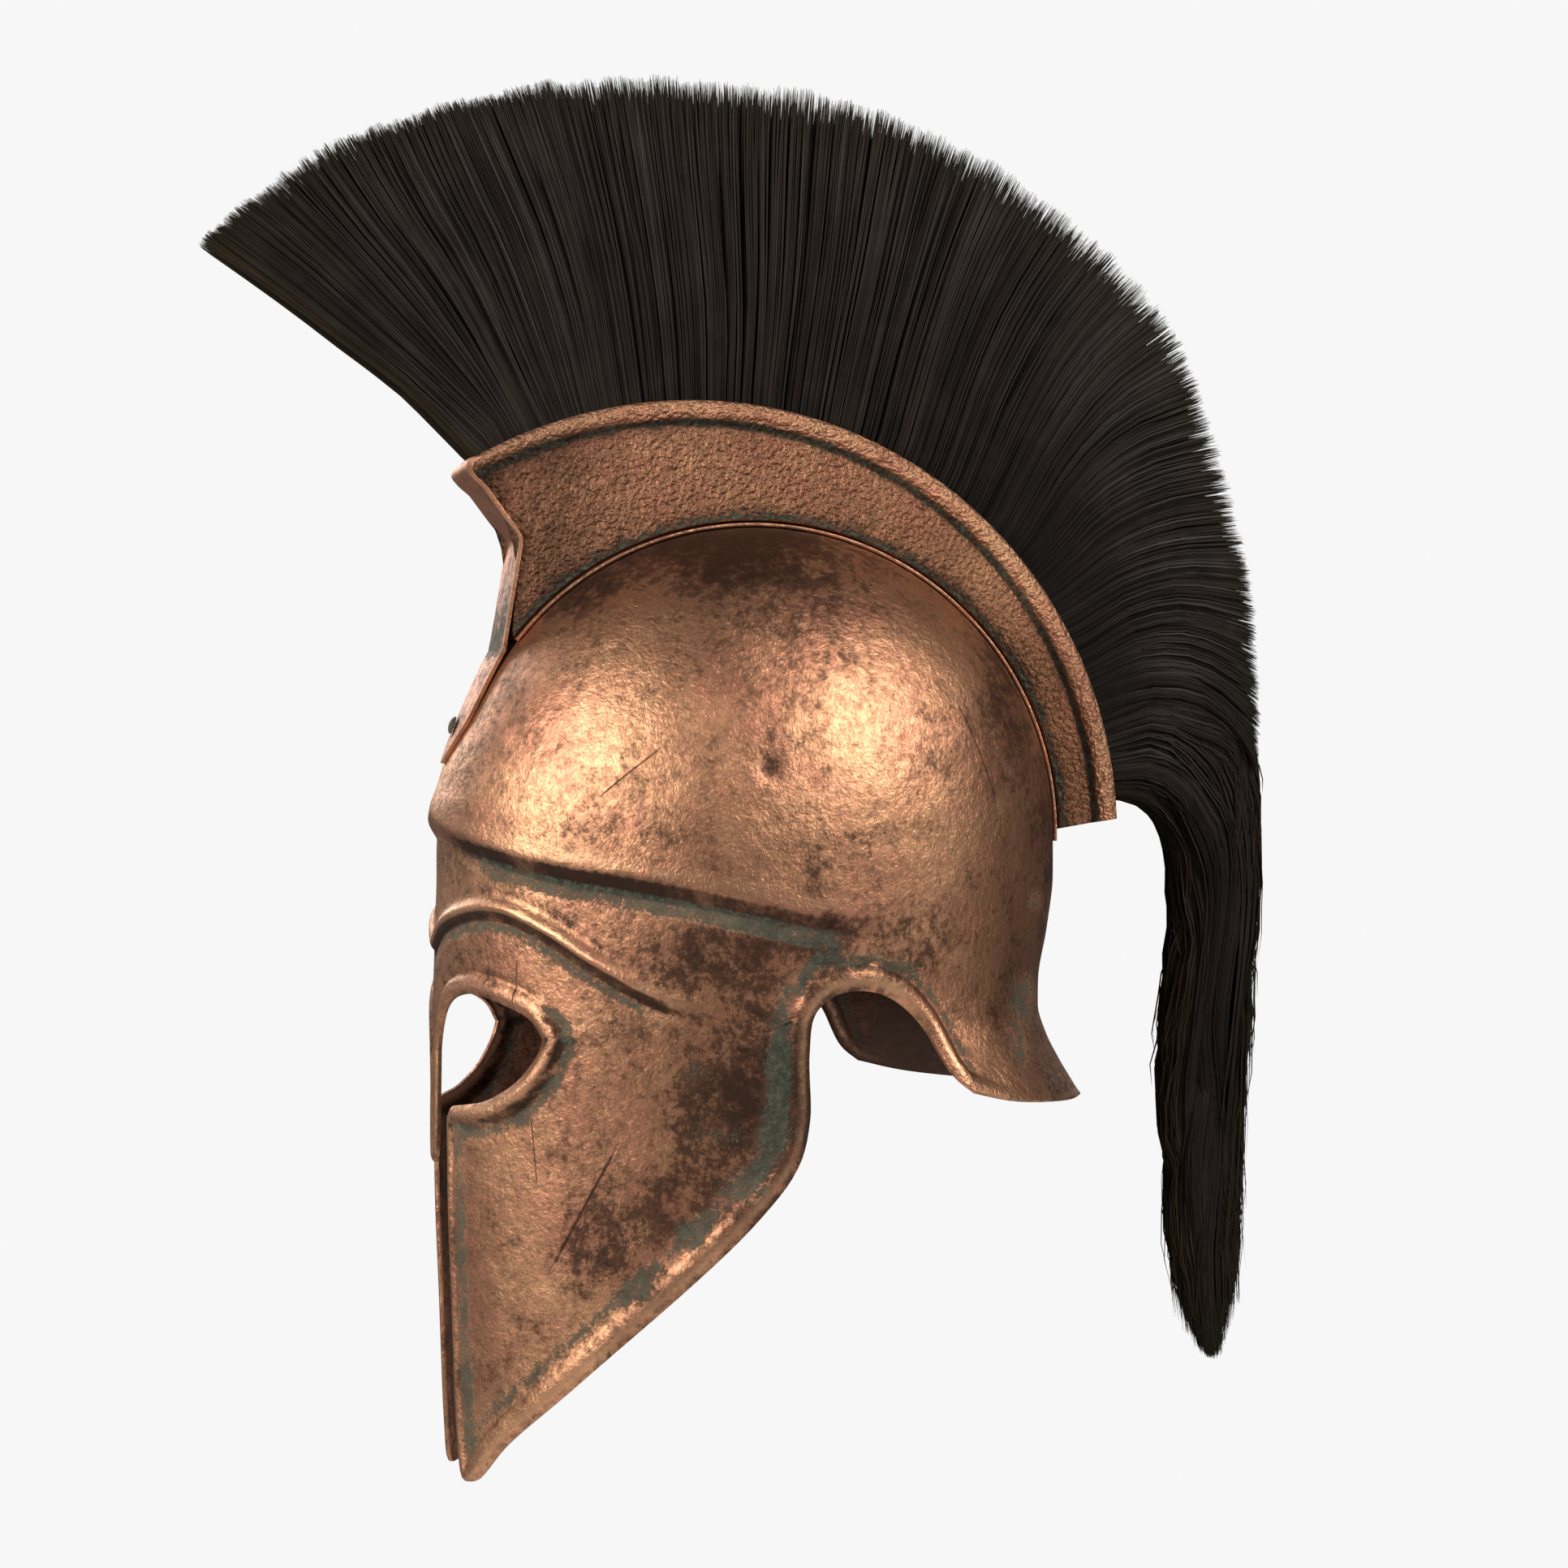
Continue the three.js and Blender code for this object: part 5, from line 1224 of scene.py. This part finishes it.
# ---------------------------------------------------------------- making
shell_bronze = aged_bronze("aged bronze", umber=.08, grain=.3, gloss=.39, cuts=CUTS,
                            dark_behind=.14, dark_from=(.06, .11))
inner_bronze = aged_bronze("bronze inside", umber=.42, gold=.3, grain=.4, gloss=.5, verdigris=-.1,
                            mottled=.7, dark_behind=1.1)
holder_bronze = aged_bronze("grained bronze", umber=.36, gold=.5, grain=1, hammer=.5, gloss=.48, mottled=.4,
                            dark_behind=.25, dark_from=(-.04, -.075))
strap_bronze = aged_bronze("dark bronze", umber=.22, gold=.35, grain=.4, gloss=.45)
saddle_bronze = aged_bronze("rubbed strip", umber=.1, gold=.4, grain=.2, gloss=.4)
rivet_bronze = aged_bronze("tarnished rivet", umber=.5, gold=.5, grain=.3, gloss=.5, verdigris=.3)
hair = horsehair("horsehair")

helmet_shell(shell_bronze, inner_bronze)
crest_saddle(saddle_bronze)
crest_holder(holder_bronze)
crest_strap(strap_bronze)
crest_rivet(rivet_bronze)
hair_body("plume_fan_inside", fan_at, len(FAN_COURSES) - 1, 120, fan_half, hair)
hair_body("plume_tail_inside", tail_at, 2, 24, tail_half, hair)
rng = np.random.default_rng(SEED)
for side, word in ((1, "left"), (-1, "right")):
    fan_hair("plume_fan_hair_" + word, side, rng, hair)
    tail_hair("plume_tail_hair_" + word, side, rng, hair)


# ---------------------------------------------------------------- stage
def lamp(name, toward, distance, size, watts, colour=(1, 1, 1)):
    """An area lamp that many metres from the dome, seen from it towards the given direction."""
    bpy.ops.object.select_all(action="DESELECT")
    centre = Vector((0, 0, -.13))
    way = Vector(toward).normalized()
    bpy.ops.object.light_add(type="AREA", location=centre + way * distance)
    light = bpy.context.active_object
    light.name = name
    light.rotation_euler = (-way).to_track_quat("-Z", "Y").to_euler()
    light.data.shape = "DISK"
    light.data.size = size
    light.data.energy = watts
    light.data.color = colour


FLOOR_BELOW = .62                  # metres from the helmet's lowest point down to the floor
bpy.ops.object.select_all(action="DESELECT")
bpy.ops.mesh.primitive_circle_add(vertices=96, radius=1.6, fill_type="NGON",
                                  location=(0, 0, CAD_BOX[0][2] - FLOOR_BELOW))
floor = bpy.context.active_object
floor.name = "floor"
paper = Bench("pale paper")
paper.feed(paper.shader.inputs["Base Color"],
           paper.blend(paper.noise(60, 3), (.86, .86, .86, 1), (.9, .9, .9, 1)))
paper.shader.inputs["Roughness"].default_value = .9
floor.data.materials.append(paper.material)

# name, direction, distance, size, watts, colour
LAMPS = [
    ("front lamp", (.40, -.86, .37), 1.3, .5, 14, (1, .93, .84)),
    ("back lamp", (.65, .50, .58), 1.3, .5, 13.2, (1, .93, .84)),
    ("far front edge", (-.5, -.86, 0), 1.5, .7, 1, (1, .95, .9)),
    ("far side lamp", (-.78, -.35, .4), 1.5, .8, 9, (1, .95, .88)),
    ("far back lamp", (-.85, .42, .35), 1.5, .8, 4, (1, .95, .88)),
    ("low front fill", (.42, -.90, -.12), 1.6, .9, 2, (1, .95, .89)),
    ("low back fill", (.72, .66, -.15), 1.6, .9, 2.4, (1, .95, .89)),
]
for row in LAMPS:
    lamp(*row)

world = bpy.context.scene.world or bpy.data.worlds.new("studio")
bpy.context.scene.world = world
world.use_nodes = True
nodes, links = world.node_tree.nodes, world.node_tree.links
nodes.clear()
surround, seen = nodes.new("ShaderNodeBackground"), nodes.new("ShaderNodeBackground")
for sky, colour, strength in ((surround, (.9, .93, 1, 1), .07), (seen, (.93, .93, .93, 1), 1)):
    sky.inputs["Color"].default_value = colour
    sky.inputs["Strength"].default_value = strength
path, choose = nodes.new("ShaderNodeLightPath"), nodes.new("ShaderNodeMixShader")
result = nodes.new("ShaderNodeOutputWorld")
links.new(path.outputs["Is Camera Ray"], choose.inputs[0])
links.new(surround.outputs[0], choose.inputs[1])
links.new(seen.outputs[0], choose.inputs[2])
links.new(choose.outputs[0], result.inputs[0])

bpy.ops.object.camera_add(location=(1.4668, -.2999, -.10085))
camera = bpy.context.active_object
camera.name = "camera"
camera.data.lens = 90.84
camera.data.sensor_width = 36
camera.rotation_euler = (Vector((0, .014, -.0964)) - camera.location).to_track_quat("-Z", "Y").to_euler()
bpy.context.scene.camera = camera
bpy.context.scene.view_settings.view_transform = "Standard"
